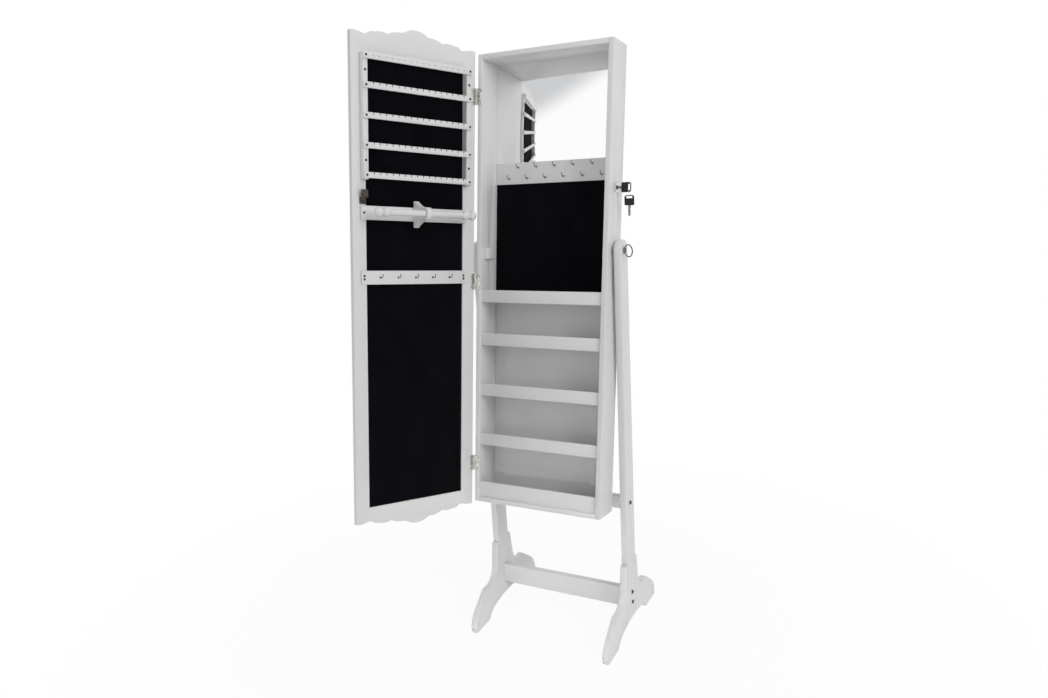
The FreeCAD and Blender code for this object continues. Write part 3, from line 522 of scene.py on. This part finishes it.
def make_lining(node, place, face_up):
    """A panel with a rounded, gently uneven front. face_up is +1 or -1 along its depth."""
    low, high = solids_of(node, place)[0]
    rows = max(2, int((high.z - low.z) / (high.x - low.x) * COLUMNS))
    front = high.y if face_up > 0 else low.y
    back = low.y if face_up > 0 else high.y
    shape = bmesh.new()
    grid = []
    for row in range(rows + 1):
        z = low.z + (high.z - low.z) * row / rows
        line = []
        for column in range(COLUMNS + 1):
            x = low.x + (high.x - low.x) * column / COLUMNS
            inset = min(x - low.x, high.x - x, z - low.z, high.z - z)
            wave = sum(sin(x * across + z * up) for across, up in WAVES) * WAVE_HEIGHT
            drop = BORDER_SINK if inset < BORDER else wave + WAVE_SINK
            line.append(shape.verts.new(place @ Vector((x, front - face_up * drop, z))))
        grid.append(line)
    for row in range(rows):
        for column in range(COLUMNS):
            shape.faces.new((grid[row][column], grid[row][column + 1],
                             grid[row + 1][column + 1], grid[row + 1][column]))
    rim = [edge for edge in shape.edges if edge.is_boundary]
    wall = bmesh.ops.extrude_edge_only(shape, edges=rim)["geom"]
    home = place.inverted()
    for item in wall:
        if isinstance(item, bmesh.types.BMVert):
            point = home @ item.co
            item.co = place @ Vector((point.x, back, point.z))
    closing = [edge for edge in shape.edges if edge.is_boundary]
    bmesh.ops.contextual_create(shape, geom=closing)
    bmesh.ops.recalc_face_normals(shape, faces=shape.faces)
    mesh = smooth(plain(shape, node), FELT, 50)
    print(node, rows, "x", COLUMNS, "cells")
    add_piece(node + "_finished", mesh, body_of[node], "black_felt", node)


make_lining("felt_panel", BOX, -1)
make_lining("door_felt_panel", DOOR, 1)

# %% [markdown]
# Turned work
#
# The bracelet rod is turned on a lathe, so it is described the way a turner would: by its
# radius along its length. The same function makes every other round thing here, such as
# bolt heads and screw heads, which are only shorter.


# %% Lathe
def turned(profile, sides=48):
    """Spins a list of (distance along the axis, radius) about +Z into a closed solid."""
    shape = bmesh.new()
    rings = []
    for along, radius in profile:
        if radius < WELD:
            rings.append([shape.verts.new((0, 0, along))])
            continue
        rings.append([shape.verts.new((radius * cos(2 * pi * turn / sides),
                                       radius * sin(2 * pi * turn / sides), along))
                      for turn in range(sides)])
    for first, second in zip(rings, rings[1:]):
        for turn in range(sides):
            after = (turn + 1) % sides
            corners = [first[turn % len(first)], first[after % len(first)],
                       second[after % len(second)], second[turn % len(second)]]
            whole = list(dict.fromkeys(corners))
            if len(whole) > 2:
                shape.faces.new(whole)
    for ring in (rings[0], rings[-1]):
        if len(ring) > 2:
            shape.faces.new(ring)
    bmesh.ops.recalc_face_normals(shape, faces=shape.faces)
    return shape


def swell(start, end, low, high, steps=10):
    """Profile points of a rounded bead: low radius at its ends, high in the middle."""
    return [(start + (end - start) * step / steps,
             low + (high - low) * sin(pi * step / steps) ** 0.6) for step in range(steps + 1)]


def aim(direction):
    """The turn that points +Z along a direction."""
    return Vector(direction).to_track_quat("Z", "Y").to_matrix().to_4x4()


def in_mm(profile):
    """A profile that is written in millimetres, in metres."""
    return [(along * MM, radius * MM) for along, radius in profile]


ROD_TIP = ((0, 0), (0.4, 2.6), (1.4, 4.4))
TIP, KNOB, GROOVE, BEAD = 3 * MM, 22 * MM, 1.5 * MM, 18 * MM    # lengths from the end inwards
KNOB_END, STEM = 6 * MM, 8 * MM                                 # radii
NECK, BEAD_SHARE, STEM_SHARE = 0.86, 0.96, 0.98                 # shares of those radii


def make_rod():
    """A knob, a bead and a neck at each end of a plain stem."""
    low, high = solids_of("bracelet_rod", DOOR)[0]
    length = high.x - low.x
    full = (high.z - low.z) / 2
    shoulder = KNOB + GROOVE + BEAD
    half = in_mm(ROD_TIP)
    half += [(TIP + at, size) for at, size in swell(0, KNOB - TIP, KNOB_END, full)]
    half += [(KNOB + GROOVE / 2, STEM * NECK)]
    half += [(KNOB + GROOVE + at, size) for at, size in swell(0, BEAD, STEM, full * BEAD_SHARE)]
    half += [(shoulder + GROOVE, STEM * NECK), (shoulder + 4 * MM, STEM * STEM_SHARE)]
    profile = half + [(length - at, size) for at, size in reversed(half)]
    shape = turned(profile)
    centre = Vector((low.x, (low.y + high.y) / 2, (low.z + high.z) / 2))
    shape.transform(DOOR @ Matrix.Translation(centre) @ aim((1, 0, 0)))
    mesh = smooth(plain(shape, "rod"), LACQUER, 50)
    print("the rod is", round(length, 3), "m long")
    add_piece("bracelet_rod_turned", mesh, "door", "white_lacquer", "bracelet_rod")


make_rod()

# %% [markdown]
# Screws, bolts and hooks
#
# Small fittings repeat: one good screw is worth more than forty plain discs. Each kind is
# made once, and a small node tree copies it onto a list of seats, points that know which
# way they face. The tree turns each copy by its own random angle, because no one lines up
# the slots, and ends in real geometry.


# %% Instancing tree
RANDOM_NUMBER = 1    # a Random Value node's output that is a single number


def seat_tree():
    """A tree that stands a part on every point, turned at random about its own axis."""
    tree = bpy.data.node_groups.new("place on seats", "GeometryNodeTree")
    for name, kind in (("Seats", "NodeSocketGeometry"), ("Part", "NodeSocketObject"),
                       ("Spin", "NodeSocketFloat"), ("Seed", "NodeSocketInt"),
                       ("Finish", "NodeSocketMaterial")):
        tree.interface.new_socket(name=name, in_out="INPUT", socket_type=kind)
    tree.interface.new_socket(name="Fittings", in_out="OUTPUT", socket_type="NodeSocketGeometry")
    graph = Graph(tree)
    inputs = tree.nodes.new("NodeGroupInput")
    given = {socket.name: Number(graph, socket) for socket in inputs.outputs if socket.name}
    part = graph.node("GeometryNodeObjectInfo", {}, {"Object": given["Part"]}, output="Geometry")
    facing = graph.node("GeometryNodeInputNamedAttribute", {"data_type": "FLOAT_VECTOR"},
                        {"Name": "facing"})
    turn = graph.node("FunctionNodeEulerToRotation", {}, {"Euler": facing})
    copies = graph.node("GeometryNodeInstanceOnPoints", {}, {
        "Points": given["Seats"], "Instance": part, "Rotation": turn})
    angle = graph.node("FunctionNodeRandomValue", {"data_type": "FLOAT"}, {
        "Seed": given["Seed"]}, output=RANDOM_NUMBER)
    axis = graph.node("ShaderNodeCombineXYZ", {}, {"Z": angle * given["Spin"]})
    spun = graph.node("GeometryNodeRotateInstances", {}, {"Instances": copies, "Rotation": axis})
    real = graph.node("GeometryNodeRealizeInstances", {}, {"Geometry": spun})
    shown = graph.node("GeometryNodeSetMaterial", {}, {
        "Geometry": real, "Material": given["Finish"]})
    graph.node("NodeGroupOutput", {}, {"Fittings": shown})
    return tree


SEATS = seat_tree()
print(SEATS.name, "has", len(SEATS.nodes), "nodes")


def fit_on_seats(name, part, seats, material, body, slot, spin=0.0, seed=1, replaced=()):
    """Copies a part mesh onto seats, each a matrix with +Z out of the surface."""
    points = bpy.data.meshes.new(name)
    points.from_pydata([seat.to_translation() for seat in seats], [], [])
    facing = points.attributes.new("facing", "FLOAT_VECTOR", "POINT")
    for item, seat in zip(facing.data, seats):
        item.vector = seat.to_euler()
    holder = bpy.data.objects.new(name, points)
    sample = bpy.data.objects.new(name + " part", part)
    modifier = holder.modifiers.new("Seats", "NODES")
    modifier.node_group = SEATS
    values = {"Part": sample, "Spin": spin, "Seed": seed, "Finish": material}
    for item in SEATS.interface.items_tree:
        if item.in_out == "INPUT" and item.name in values:
            modifier[item.identifier] = values[item.name]
    mesh = smooth(baked(holder), material, 40)
    bpy.data.objects.remove(sample)
    print(name, len(seats), "x", len(part.polygons), "faces")
    add_piece(name, mesh, body, slot, *replaced)


# %% [markdown]
# One screw and one bolt head
#
# A head is turned on the lathe above, and its recess is cut with a punch of the same shape
# as the driver's tip. A recess could be painted on, but a real one keeps its shadow from
# every side. It is cut once and copied afterwards, so the slow cut costs nothing.


# %% Screw and bolt head
def cut_with(shape, cutter):
    """Cuts one closed mesh out of another and returns the rest."""
    body, tool = [bpy.data.objects.new("cut", plain(item, "cut")) for item in (shape, cutter)]
    bpy.context.scene.collection.objects.link(tool)
    cut = body.modifiers.new("Cut", "BOOLEAN")
    cut.operation = "DIFFERENCE"
    cut.object = tool
    cut.solver = "EXACT"
    mesh = baked(body)
    bpy.data.objects.remove(tool)
    return mesh


TIP_SHARE, TIP_DEPTH = 0.55, 1.4    # the punch's narrow end, and how far down it lies
RIM, UNDERCUT, ROUNDNESS = 0.18, 0.96, 0.8    # a dome's widest place, its foot, its curve
HEX_CORNER = 0.577    # from the middle of a hexagon to its corner, per width across


def cross_cutter(length, width, depth, top):
    """A cross-shaped punch that narrows to its tip, as a driver's does."""
    arm, half = length / 2, width / 2
    outline, corner = [], [(arm, -half), (arm, half), (half, half)]
    for _ in range(4):
        outline += corner
        corner = [(-y, x) for x, y in corner]
    shape = bmesh.new()
    tip, face = [[shape.verts.new((x * size, y * size, z)) for x, y in outline]
                 for size, z in ((TIP_SHARE, top - depth * TIP_DEPTH), (1, top))]
    for place in range(len(outline)):
        after = (place + 1) % len(outline)
        shape.faces.new((tip[place], tip[after], face[after], face[place]))
    shape.faces.new(tip)
    shape.faces.new(face)
    bmesh.ops.recalc_face_normals(shape, faces=shape.faces)
    return shape


def dome(radius, height, steps=6, sides=24):
    """A low round head that ends flat on its seat."""
    profile = [(0, 0), (0, radius * UNDERCUT), (height * RIM, radius)]
    profile += [(height * sin(pi / 2 * step / steps) * (1 - RIM) + height * RIM,
                 radius * cos(pi / 2 * step / steps) ** ROUNDNESS) for step in range(1, steps)]
    return turned(profile + [(height, 0)], sides)


def make_screw(radius, height):
    """A domed head with a cross recess, its sizes shares of the head's own."""
    cutter = cross_cutter(radius * 1.25, radius * 0.26, height * 0.75, height * 1.2)
    return cut_with(dome(radius, height), cutter)


def make_bolt_head(radius, height, across=5 * MM):
    """A flat round head with a hexagon socket."""
    chamfer = height * 0.22
    head = turned([(0, 0), (0, radius), (height - chamfer, radius),
                   (height, radius - chamfer), (height, 0)], 36)
    floor, corner = height * 0.3, across * HEX_CORNER
    socket = turned([(floor, 0), (floor, corner), (height * 1.4, corner), (height * 1.4, 0)], 6)
    return cut_with(head, socket)


# %% [markdown]
# One hook
#
# A cup hook is a bent wire with a ball at its tip and a collar at the board. A curve with a
# round bevel bends like wire does, so a handful of points is enough.


# %% Wire and hook
def wire_mesh(points, radius, closed=False):
    """A round wire along a smooth line, capped at both ends or closed into a loop."""
    path = bpy.data.curves.new("wire", "CURVE")
    path.dimensions = "3D"
    path.bevel_depth = radius
    path.bevel_resolution = 3
    path.use_fill_caps = True
    path.resolution_u = 6
    line = path.splines.new("BEZIER")
    line.bezier_points.add(len(points) - 1)
    line.use_cyclic_u = closed
    for knot, place in zip(line.bezier_points, points):
        knot.co = place
        knot.handle_left_type = knot.handle_right_type = "AUTO"
    return baked(bpy.data.objects.new("wire", path))


def joined(meshes):
    """Several closed meshes as one."""
    shape = bmesh.new()
    for mesh in meshes:
        shape.from_mesh(mesh)
    bmesh.ops.recalc_face_normals(shape, faces=shape.faces)
    return plain(shape, "joined")


HOOK_BEND, HALF_BEND = 0.55, 0.29    # the bend's share of the rise, and the middle of the bend
SLACK, BALL_SHARE = 0.2, 1.18        # shares of the wire's radius


def make_hook(reach, rise, wire, collar):
    """A cup hook. +Z leaves the board and +Y is up."""
    bend = rise * HOOK_BEND
    corner, tip = bend * HALF_BEND, (0, rise - wire, reach - wire * SLACK)
    path = [(0, 0, 0), (0, 0, reach * 0.35), (0, -wire * SLACK, reach - bend),
            (0, corner, reach - corner), (0, bend, reach), tip]
    ball = bmesh.new()
    bmesh.ops.create_uvsphere(ball, u_segments=12, v_segments=8, radius=wire * BALL_SHARE)
    ball.transform(Matrix.Translation(tip))
    disc = turned([(0, 0), (0, collar), (0.5 * MM, collar), (1 * MM, collar * 0.62),
                   (1 * MM, 0)], 20)
    return joined([wire_mesh([Vector(point) for point in path], wire), plain(ball), plain(disc)])


# %% [markdown]
# Where the fittings go
#
# The CAD model already holds a plain solid for every hook, screw head and bolt. Its place,
# size and direction are read from that solid, so nothing is measured twice.


# %% Fittings
ANY_WAY, HOOK_SPIN = 2 * pi, 0.12
HOOK_WIRE, HEAD = 1.15 * MM, 3 * MM


def seat(place, point, out, up=(0, 0, 1)):
    """A seat at a point, with +Z along out and +Y as near to up as it can be."""
    z_axis = Vector(out).normalized()
    x_axis = Vector(up).cross(z_axis).normalized()
    turn = Matrix((x_axis, z_axis.cross(x_axis), z_axis)).transposed().to_4x4()
    return place @ Matrix.Translation(point) @ turn


def middle(box):
    return (box[0] + box[1]) / 2


def fit_hooks(name, node, place, out):
    """The plain solid's collar is a hexagon on a flat, so its axis is a little lower."""
    boxes = solids_of(node, place)
    low, high = boxes[0]
    collar = (high.x - low.x) / 2
    drop = collar * cos(pi / 6)
    hook = make_hook(high.y - low.y - HOOK_WIRE, high.z - low.z - drop, HOOK_WIRE, collar)
    base = high.y if out < 0 else low.y
    seats = [seat(place, Vector((middle(box).x, base, box[0].z + drop)), (0, out, 0))
             for box in boxes]
    fit_on_seats(name, hook, seats, HOOK_NICKEL, body_of[node], slot_of[node],
                 spin=HOOK_SPIN, seed=3, replaced=(node,))


fit_hooks("necklace_hooks_bent", "necklace_hooks", BOX, -1)
fit_hooks("rail_hooks_bent", "rail_hooks", DOOR, 1)

door_heads = solids_of("door_screws", DOOR)
head_low, head_high = door_heads[0]
door_screw = make_screw((head_high.x - head_low.x) / 2, head_high.y - head_low.y)
fit_on_seats("door_screw_heads", door_screw, [
    seat(DOOR, Vector((middle(box).x, box[0].y, middle(box).z)), (0, 1, 0))
    for box in door_heads], SCREW_STEEL, "door", "dark_nickel",
    spin=ANY_WAY, seed=5, replaced=("door_screws",))

bolt_boxes = solids_of("frame_bolts", STAND)
bolt_radius = (bolt_boxes[0][1].y - bolt_boxes[0][0].y) / 2
bolt_seats = []
for box in bolt_boxes:
    side = 1 if middle(box).x > 0 else -1
    surface = (box[1].x if side > 0 else box[0].x) - side * HEAD
    bolt_seats.append(seat(STAND, Vector((surface, middle(box).y, middle(box).z)), (side, 0, 0)))
fit_on_seats("frame_bolt_heads", make_bolt_head(bolt_radius, HEAD), bolt_seats, RING_STEEL,
             "stand", "bright_chrome", spin=ANY_WAY, seed=7, replaced=("frame_bolts",))

# %% [markdown]
# Hinges and their screws
#
# A butt hinge is two leaves that roll round one pin in five knuckles, three on the box and
# two on the door. The rolled knuckles are turned barrels here, because a round barrel shows
# a clean line of light. Each leaf is held by three small countersunk screws, staggered so
# that they don't split the board, with heads flush in the open face of the leaf.


# %% Knuckles and screws
KNUCKLES, KNUCKLE, KNUCKLE_GAP = 5, 3 * MM, 0.25 * MM
LEAF, JOINT_GAP, HEAD_SUNK = 1.3 * MM, 3 * MM, 0.4 * MM
STAGGER = ((0.78, 0.16), (0.52, 0.5), (0.78, 0.84))
STRIKE_SHEET, STRIKE_UP, STRIKE_ACROSS = 1.5 * MM, 7 * MM, (0.26, 0.74)


def fit_knuckles(name, node, place, first):
    """Round barrels over every second knuckle, counted from below."""
    seats = []
    for low, high in solids_of(node, place):
        pitch = (high.z - low.z) / KNUCKLES
        for number in range(first, KNUCKLES, 2):
            start = Vector((0, 0, low.z + number * pitch + KNUCKLE_GAP / 2))
            seats.append(seat(place, HINGE_LINE + start, (0, 0, 1), (0, 1, 0)))
    length, edge = pitch - KNUCKLE_GAP, 0.3 * MM
    barrel = turned([(0, 0), (0, KNUCKLE - edge), (edge, KNUCKLE), (length - edge, KNUCKLE),
                     (length, KNUCKLE - edge), (length, 0)], 32)
    fit_on_seats(name, plain(barrel), seats, HINGE_NICKEL, body_of[node], "dark_nickel")


def leaf_seats(node, place, out):
    """Three seats in each leaf, measured from the far side of its knuckles."""
    inward = KNUCKLE + JOINT_GAP / 2 - LEAF + HEAD_SUNK
    seats = []
    for low, high in solids_of(node, place):
        surface = high.y - inward if out > 0 else low.y + inward
        for across, up in STAGGER:
            x = low.x + KNUCKLE + (high.x - low.x - KNUCKLE) * across
            point = Vector((x, surface, low.z + (high.z - low.z) * up))
            seats.append(seat(place, point, (0, out, 0)))
    return seats


small_screw = make_screw(2.2 * MM, 0.55 * MM)
fit_knuckles("box_hinge_knuckles", "box_hinge_leaves", BOX, 0)
fit_knuckles("door_hinge_knuckles", "door_hinge_leaves", DOOR, 1)
fit_on_seats("box_hinge_screws", small_screw, leaf_seats("box_hinge_leaves", BOX, -1),
             SCREW_STEEL, "cabinet", "dark_nickel", spin=ANY_WAY, seed=11)
fit_on_seats("door_hinge_screws", small_screw, leaf_seats("door_hinge_leaves", DOOR, 1),
             SCREW_STEEL, "door", "dark_nickel", spin=ANY_WAY, seed=13)
strike_low, strike_high = solids_of("lock_strike", DOOR)[0]
strike_seats = [seat(DOOR, Vector((strike_low.x + (strike_high.x - strike_low.x) * share,
                                   strike_low.y + STRIKE_SHEET, strike_low.z + STRIKE_UP)),
                     (0, 1, 0)) for share in STRIKE_ACROSS]
fit_on_seats("strike_screws", make_screw(2.4 * MM, 0.9 * MM), strike_seats, DARK_NICKEL,
             "door", "dark_nickel", spin=ANY_WAY, seed=17)

# %% [markdown]
# Tilt bolts and rings
#
# The box is clamped between the posts by two bolts. Each has a round head, turned on the
# lathe with a dark eye in its middle, and a closed ring of round wire to turn it by.


# %% Tilt bolts
def ring_points(radius, centre, first, second, count=16):
    """Points on a circle that runs from the first direction to the second."""
    return [centre + (Vector(first) * cos(2 * pi * step / count)
                      + Vector(second) * sin(2 * pi * step / count)) * radius
            for step in range(count)]


RING_RADIUS, RING_WIRE, RING_EYE = 15 * MM, 1.45 * MM, 2 * MM
BOLT_HEAD = ((0, 0), (0, 7.2), (0.5, 7.5), (3.2, 7.5), (4.4, 6.6), (4.8, 5.4), (3.6, 4.4),
             (3.6, 2.4), (4.9, 1.8), (4.9, 0))
BOLT_EYE = ((3, 0), (3, 4.5), (3.9, 4.3), (3.9, 2.6), (4.95, 1.9), (4.95, 0))
SHANK_TIP, SHANK = ((0, 0), (0, 2.9), (0.6, 3.5)), 3.5 * MM


def make_tilt_bolt(side, name, ring_turn):
    """The head sits on the post. ring_turn says which way the ring leans, seen from above."""
    node = name + "_tilt_bolt"
    low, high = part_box(node)
    face = joints[name + "_bolt_turn"]["pos_m"][0]
    inner = low.x if side > 0 else high.x
    length = abs(face - inner)
    head = turned(in_mm(BOLT_HEAD))
    eye = turned(in_mm(BOLT_EYE), 32)
    shank = turned(in_mm(SHANK_TIP) + [(length, SHANK), (length, 0)], 32)
    for shape, start in ((head, face), (eye, face), (shank, inner)):
        shape.transform(Matrix.Translation((start, pivot.y, pivot.z)) @ aim((side, 0, 0)))
    away = Vector((cos(radians(ring_turn)), sin(radians(ring_turn)), 0))
    centre = Vector((face + side * RING_EYE, pivot.y, pivot.z)) + away * RING_RADIUS
    loop = wire_mesh(ring_points(RING_RADIUS, centre, away, (0, 0, 1)), RING_WIRE, True)
    for part, mesh, material in (("head", joined([plain(head), plain(shank)]), HOOK_NICKEL),
                                 ("eye", plain(eye), SCREW_STEEL), ("ring", loop, RING_STEEL)):
        smooth(mesh, material, 40)
        add_piece(f"{node}_{part}", mesh, body_of[node], slot_of[node], node)
    print(node, "is", round(length, 3), "m from face to tip")


make_tilt_bolt(1, "right", -33)
make_tilt_bolt(-1, "left", 180)

# %% [markdown]
# Keys
#
# A cabinet key is a flat steel blade in a moulded bow. Both are flat outlines, so they are
# drawn as filled curves: a curve with a bevel gives the soft moulded edge for nothing. The
# second key hangs from the first on a split ring, a flat coil of two turns.


# %% Keys and ring
def flat_part(outlines, thick, edge):
    """A flat part with rounded edges from closed outlines in X and Y; later ones are holes."""
    plate = bpy.data.curves.new("plate", "CURVE")
    plate.dimensions = "2D"
    plate.fill_mode = "BOTH"
    plate.extrude = thick / 2 - edge
    plate.bevel_depth = edge
    plate.bevel_resolution = 2
    plate.offset = -edge
    for outline in outlines:
        line = plate.splines.new("POLY")
        line.points.add(len(outline) - 1)
        line.use_cyclic_u = True
        for knot, (x, y) in zip(line.points, outline):
            knot.co = (x, y, 0, 1)
    return baked(bpy.data.objects.new("plate", plate))


def rounded_box(low, high, radii, steps=6):
    """An outline of a box with corners from lower left, anticlockwise."""
    corners = [((low[0], low[1]), 180), ((high[0], low[1]), 270),
               ((high[0], high[1]), 0), ((low[0], high[1]), 90)]
    points = []
    for (corner, start), radius in zip(corners, radii):
        inward = (radius if corner[0] == low[0] else -radius,
                  radius if corner[1] == low[1] else -radius)
        for step in range(steps + 1):
            angle = radians(start + 90 * step / steps)
            points.append((corner[0] + inward[0] + radius * cos(angle),
                           corner[1] + inward[1] + radius * sin(angle)))
    return points


BOW, BOW_HALF, WALL, SLOT, THICK = 25 * MM, 12.4 * MM, 2.2 * MM, 5.5 * MM, 3.5 * MM
BOW_CORNERS, SLOT_CORNERS = (3 * MM, 6 * MM, 6 * MM, 3 * MM), (1.2 * MM,) * 4
PAD_LOW, PAD_HIGH, PAD_CORNERS = (4 * MM, -7 * MM), (15 * MM, 7 * MM), (3 * MM,) * 4
BLADE_HALF, BLADE_THICK, CUTS = 3.4 * MM, 1.9 * MM, 5


def make_bow():
    """The moulded bow, along +X from its root, with the slot for the ring at its end."""
    outline = rounded_box((0, -BOW_HALF), (BOW, BOW_HALF), BOW_CORNERS)
    slot_half = BOW_HALF - 2 * WALL
    hole = rounded_box((BOW - WALL - SLOT, -slot_half), (BOW - WALL, slot_half), SLOT_CORNERS)
    bow = flat_part([outline, hole[::-1]], THICK, 0.7 * MM)
    pad = flat_part([rounded_box(PAD_LOW, PAD_HIGH, PAD_CORNERS)], THICK + 0.5 * MM, 0.5 * MM)
    return joined([bow, pad])


def make_blade(length):
    """A flat blade with a row of cuts along one edge and a pointed tip."""
    half = BLADE_HALF
    step = (length - 9 * MM) / CUTS
    points = [(1 * MM, -half), (1 * MM, half), (-length + 2 * MM, half), (-length, 0.4 * MM)]
    for cut in range(CUTS):
        x = -length + 3 * MM + step * cut
        depth = (1.2 + 0.9 * sin(cut * 2.3)) * MM
        points += [(x, -half + 1.2 * MM), (x + step * 0.3, -half + depth),
                   (x + step * 0.55, -half + depth), (x + step * 0.9, -half + 0.3 * MM)]
    points.append((-4 * MM, -half))
    return flat_part([points[::-1]], BLADE_THICK, 0.18 * MM)


def place_key(node, place, length):
    """A key whose bow starts at a place and whose blade points back from there."""
    for part, mesh, material in (("bow", make_bow(), BLACK_PLASTIC),
                                 ("blade", make_blade(length), BLADE_STEEL)):
        mesh.transform(place @ Matrix.Rotation(radians(90), 4, "X"))
        smooth(mesh, material, 40)
        add_piece(f"{node}_{part}", mesh, body_of[node], "black_plastic", node)


SPLIT_WIRE, TURNS, TURN_STEPS, RING_START = 0.36 * MM, 2, 24, 1.9


def make_split_ring():
    """A coil whose two turns lie side by side."""
    low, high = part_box("key_ring")
    centre = (low + high) / 2
    radius = (high.y - low.y) / 2 - 2 * SPLIT_WIRE
    points = []
    for step in range(TURNS * TURN_STEPS + 1):
        angle = 2 * pi * step / TURN_STEPS + RING_START
        shift = SPLIT_WIRE * (2 * step / (TURNS * TURN_STEPS) - 1)
        points.append(centre + Vector((shift, radius * cos(angle), radius * sin(angle))))
    mesh = smooth(wire_mesh(points, SPLIT_WIRE), CHROME, 60)
    add_piece("split_ring", mesh, body_of["key_ring"], "bright_chrome", "key_ring")
    print("the split ring has", TURNS, "turns")


key_low, key_high = solids_of("key", BOX)[0]
key_place = BOX @ Matrix.Translation((key_high.x - BOW, (key_low.y + key_high.y) / 2,
                                      (key_low.z + key_high.z) / 2))
place_key("key", key_place, key_high.x - key_low.x - BOW)
spare_low, spare_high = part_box("spare_key")
spare_middle = (spare_low + spare_high) / 2
spare_place = (Matrix.Translation((spare_middle.x, spare_middle.y, spare_high.z - BOW))
               @ Matrix.Rotation(radians(-90), 4, "Y"))
place_key("spare_key", spare_place, spare_high.z - spare_low.z - BOW)
make_split_ring()

# %% [markdown]
# Floor and light
#
# The photograph is a catalogue picture: soft light from all sides on pure white. The world
# lights the object at a plain level, while camera and mirror rays see white. Mirrors also
# see the edge of one large softbox, which lays a soft grey slant over the inner mirror.
# The floor is pale near the feet, where it holds a soft shadow, and fades to the white of
# the backdrop.


# %% Studio
WHITE = (1, 1, 1, 1)
HALF = 0.5
AMBIENT = 0.42
SOFTBOX_SIDE, SOFTBOX_EDGE = (0.55, 0.0, -0.83), (-0.63, -0.45)
SOFTBOX_SHADE = colour(206, 207, 208)
FLOOR_RADIUS, FADE_START, FADE_END, FLOOR_GLOW, FLOOR_GRAIN = 30.0, 0.5, 1.5, 0.92, 300


def make_world():
    """White for camera and mirror rays, a plain pale light for everything else."""
    world = bpy.data.worlds.new("studio")
    world.use_nodes = True
    bpy.context.scene.world = world
    graph = Graph(world.node_tree)
    camera_ray = graph.node("ShaderNodeLightPath", output="Is Camera Ray")
    glossy_ray = graph.node("ShaderNodeLightPath", output="Is Glossy Ray")
    clear_ray = graph.node("ShaderNodeLightPath", output="Is Transmission Ray")
    white_seen = (camera_ray + glossy_ray + clear_ray) > HALF
    ambient = graph.node("ShaderNodeBackground", {}, {
        "Color": WHITE, "Strength": AMBIENT})
    direction = graph.node("ShaderNodeTexCoord", output="Generated")
    across = graph.node("ShaderNodeVectorMath", {"operation": "DOT_PRODUCT"},
                        {0: direction, 1: SOFTBOX_SIDE}, output="Value")
    lit = graph.node("ShaderNodeMapRange", {"interpolation_type": "SMOOTHSTEP"}, {
        "Value": across, "From Min": SOFTBOX_EDGE[0], "From Max": SOFTBOX_EDGE[1]})
    shown = graph.node("ShaderNodeMix", {"data_type": "RGBA"}, {
        MIX_FACTOR: glossy_ray * (1 - lit), MIX_FIRST: WHITE, MIX_SECOND: SOFTBOX_SHADE},
        output=MIX_RESULT)
    white = graph.node("ShaderNodeBackground", {}, {"Color": shown, "Strength": 1.0})
    mix = graph.node("ShaderNodeMixShader", {}, {0: white_seen, 1: ambient, 2: white})
    graph.node("ShaderNodeOutputWorld", {}, {"Surface": mix})


def make_floor():
    """A disc that takes shadows near the feet and glows white further out."""
    finish = Finish("studio floor")
    shape = bmesh.new()
    bmesh.ops.create_circle(shape, cap_ends=True, segments=64, radius=FLOOR_RADIUS)
    floor = bpy.data.objects.new("floor", plain(shape))
    bpy.context.scene.collection.objects.link(floor)
    distance = finish.node("ShaderNodeVectorMath", {"operation": "LENGTH"},
                           {0: finish.place}, output="Value")
    fade = finish.ramp(distance, FADE_START, FADE_END) * (1 - FLOOR_GLOW) + FLOOR_GLOW
    grain = finish.noise(FLOOR_GRAIN, detail=2)
    tone = finish.blend(grain, colour(240, 240, 240), colour(246, 246, 246))
    matt = finish.node("ShaderNodeBsdfDiffuse", {}, {"Color": tone})
    glow = finish.node("ShaderNodeEmission", {}, {"Color": WHITE, "Strength": 1.0})
    seen = (finish.node("ShaderNodeLightPath", output="Is Camera Ray")
            + finish.node("ShaderNodeLightPath", output="Is Glossy Ray")) > HALF
    mix = finish.node("ShaderNodeMixShader", {}, {0: fade * seen, 1: matt, 2: glow})
    finish.node("ShaderNodeOutputMaterial", {}, {"Surface": mix})
    floor.data.materials.append(finish.material)


def add_light(name, place, target, size, power, spread=180):
    """A soft rectangular lamp. A narrow spread keeps its light near the target."""
    lamp = bpy.data.lights.new(name, "AREA")
    lamp.spread = radians(spread)
    lamp.shape = "RECTANGLE"
    lamp.size, lamp.size_y = size
    lamp.energy = power
    light = bpy.data.objects.new(name, lamp)
    light.location = STAND_FOOT + Vector(place)
    light.rotation_euler = (Vector(target) - Vector(place)).to_track_quat("-Z", "Y").to_euler()
    bpy.context.scene.collection.objects.link(light)
    light.visible_camera = False
    light.visible_glossy = False


make_world()
make_floor()
add_light("key", (3.2, -1.4, 2.5), (0, 0, 1.1), (1.8, 1.8), 50)
add_light("fill", (-1.8, -2.8, 2.0), (0, 0, 0.9), (2.0, 2.0), 12)
add_light("top", (0.2, -0.4, 3.8), (0, 0, 1.0), (2.0, 2.0), 13)
add_light("low", (0.7, -3.0, 0.5), (0, 0, 0.0), (1.4, 0.6), 0.8, spread=26)
add_light("back", (-1.0, 3.0, 2.2), (0, 0, 0.9), (2.0, 2.0), 18)
print(len(bpy.data.lights), "lights")
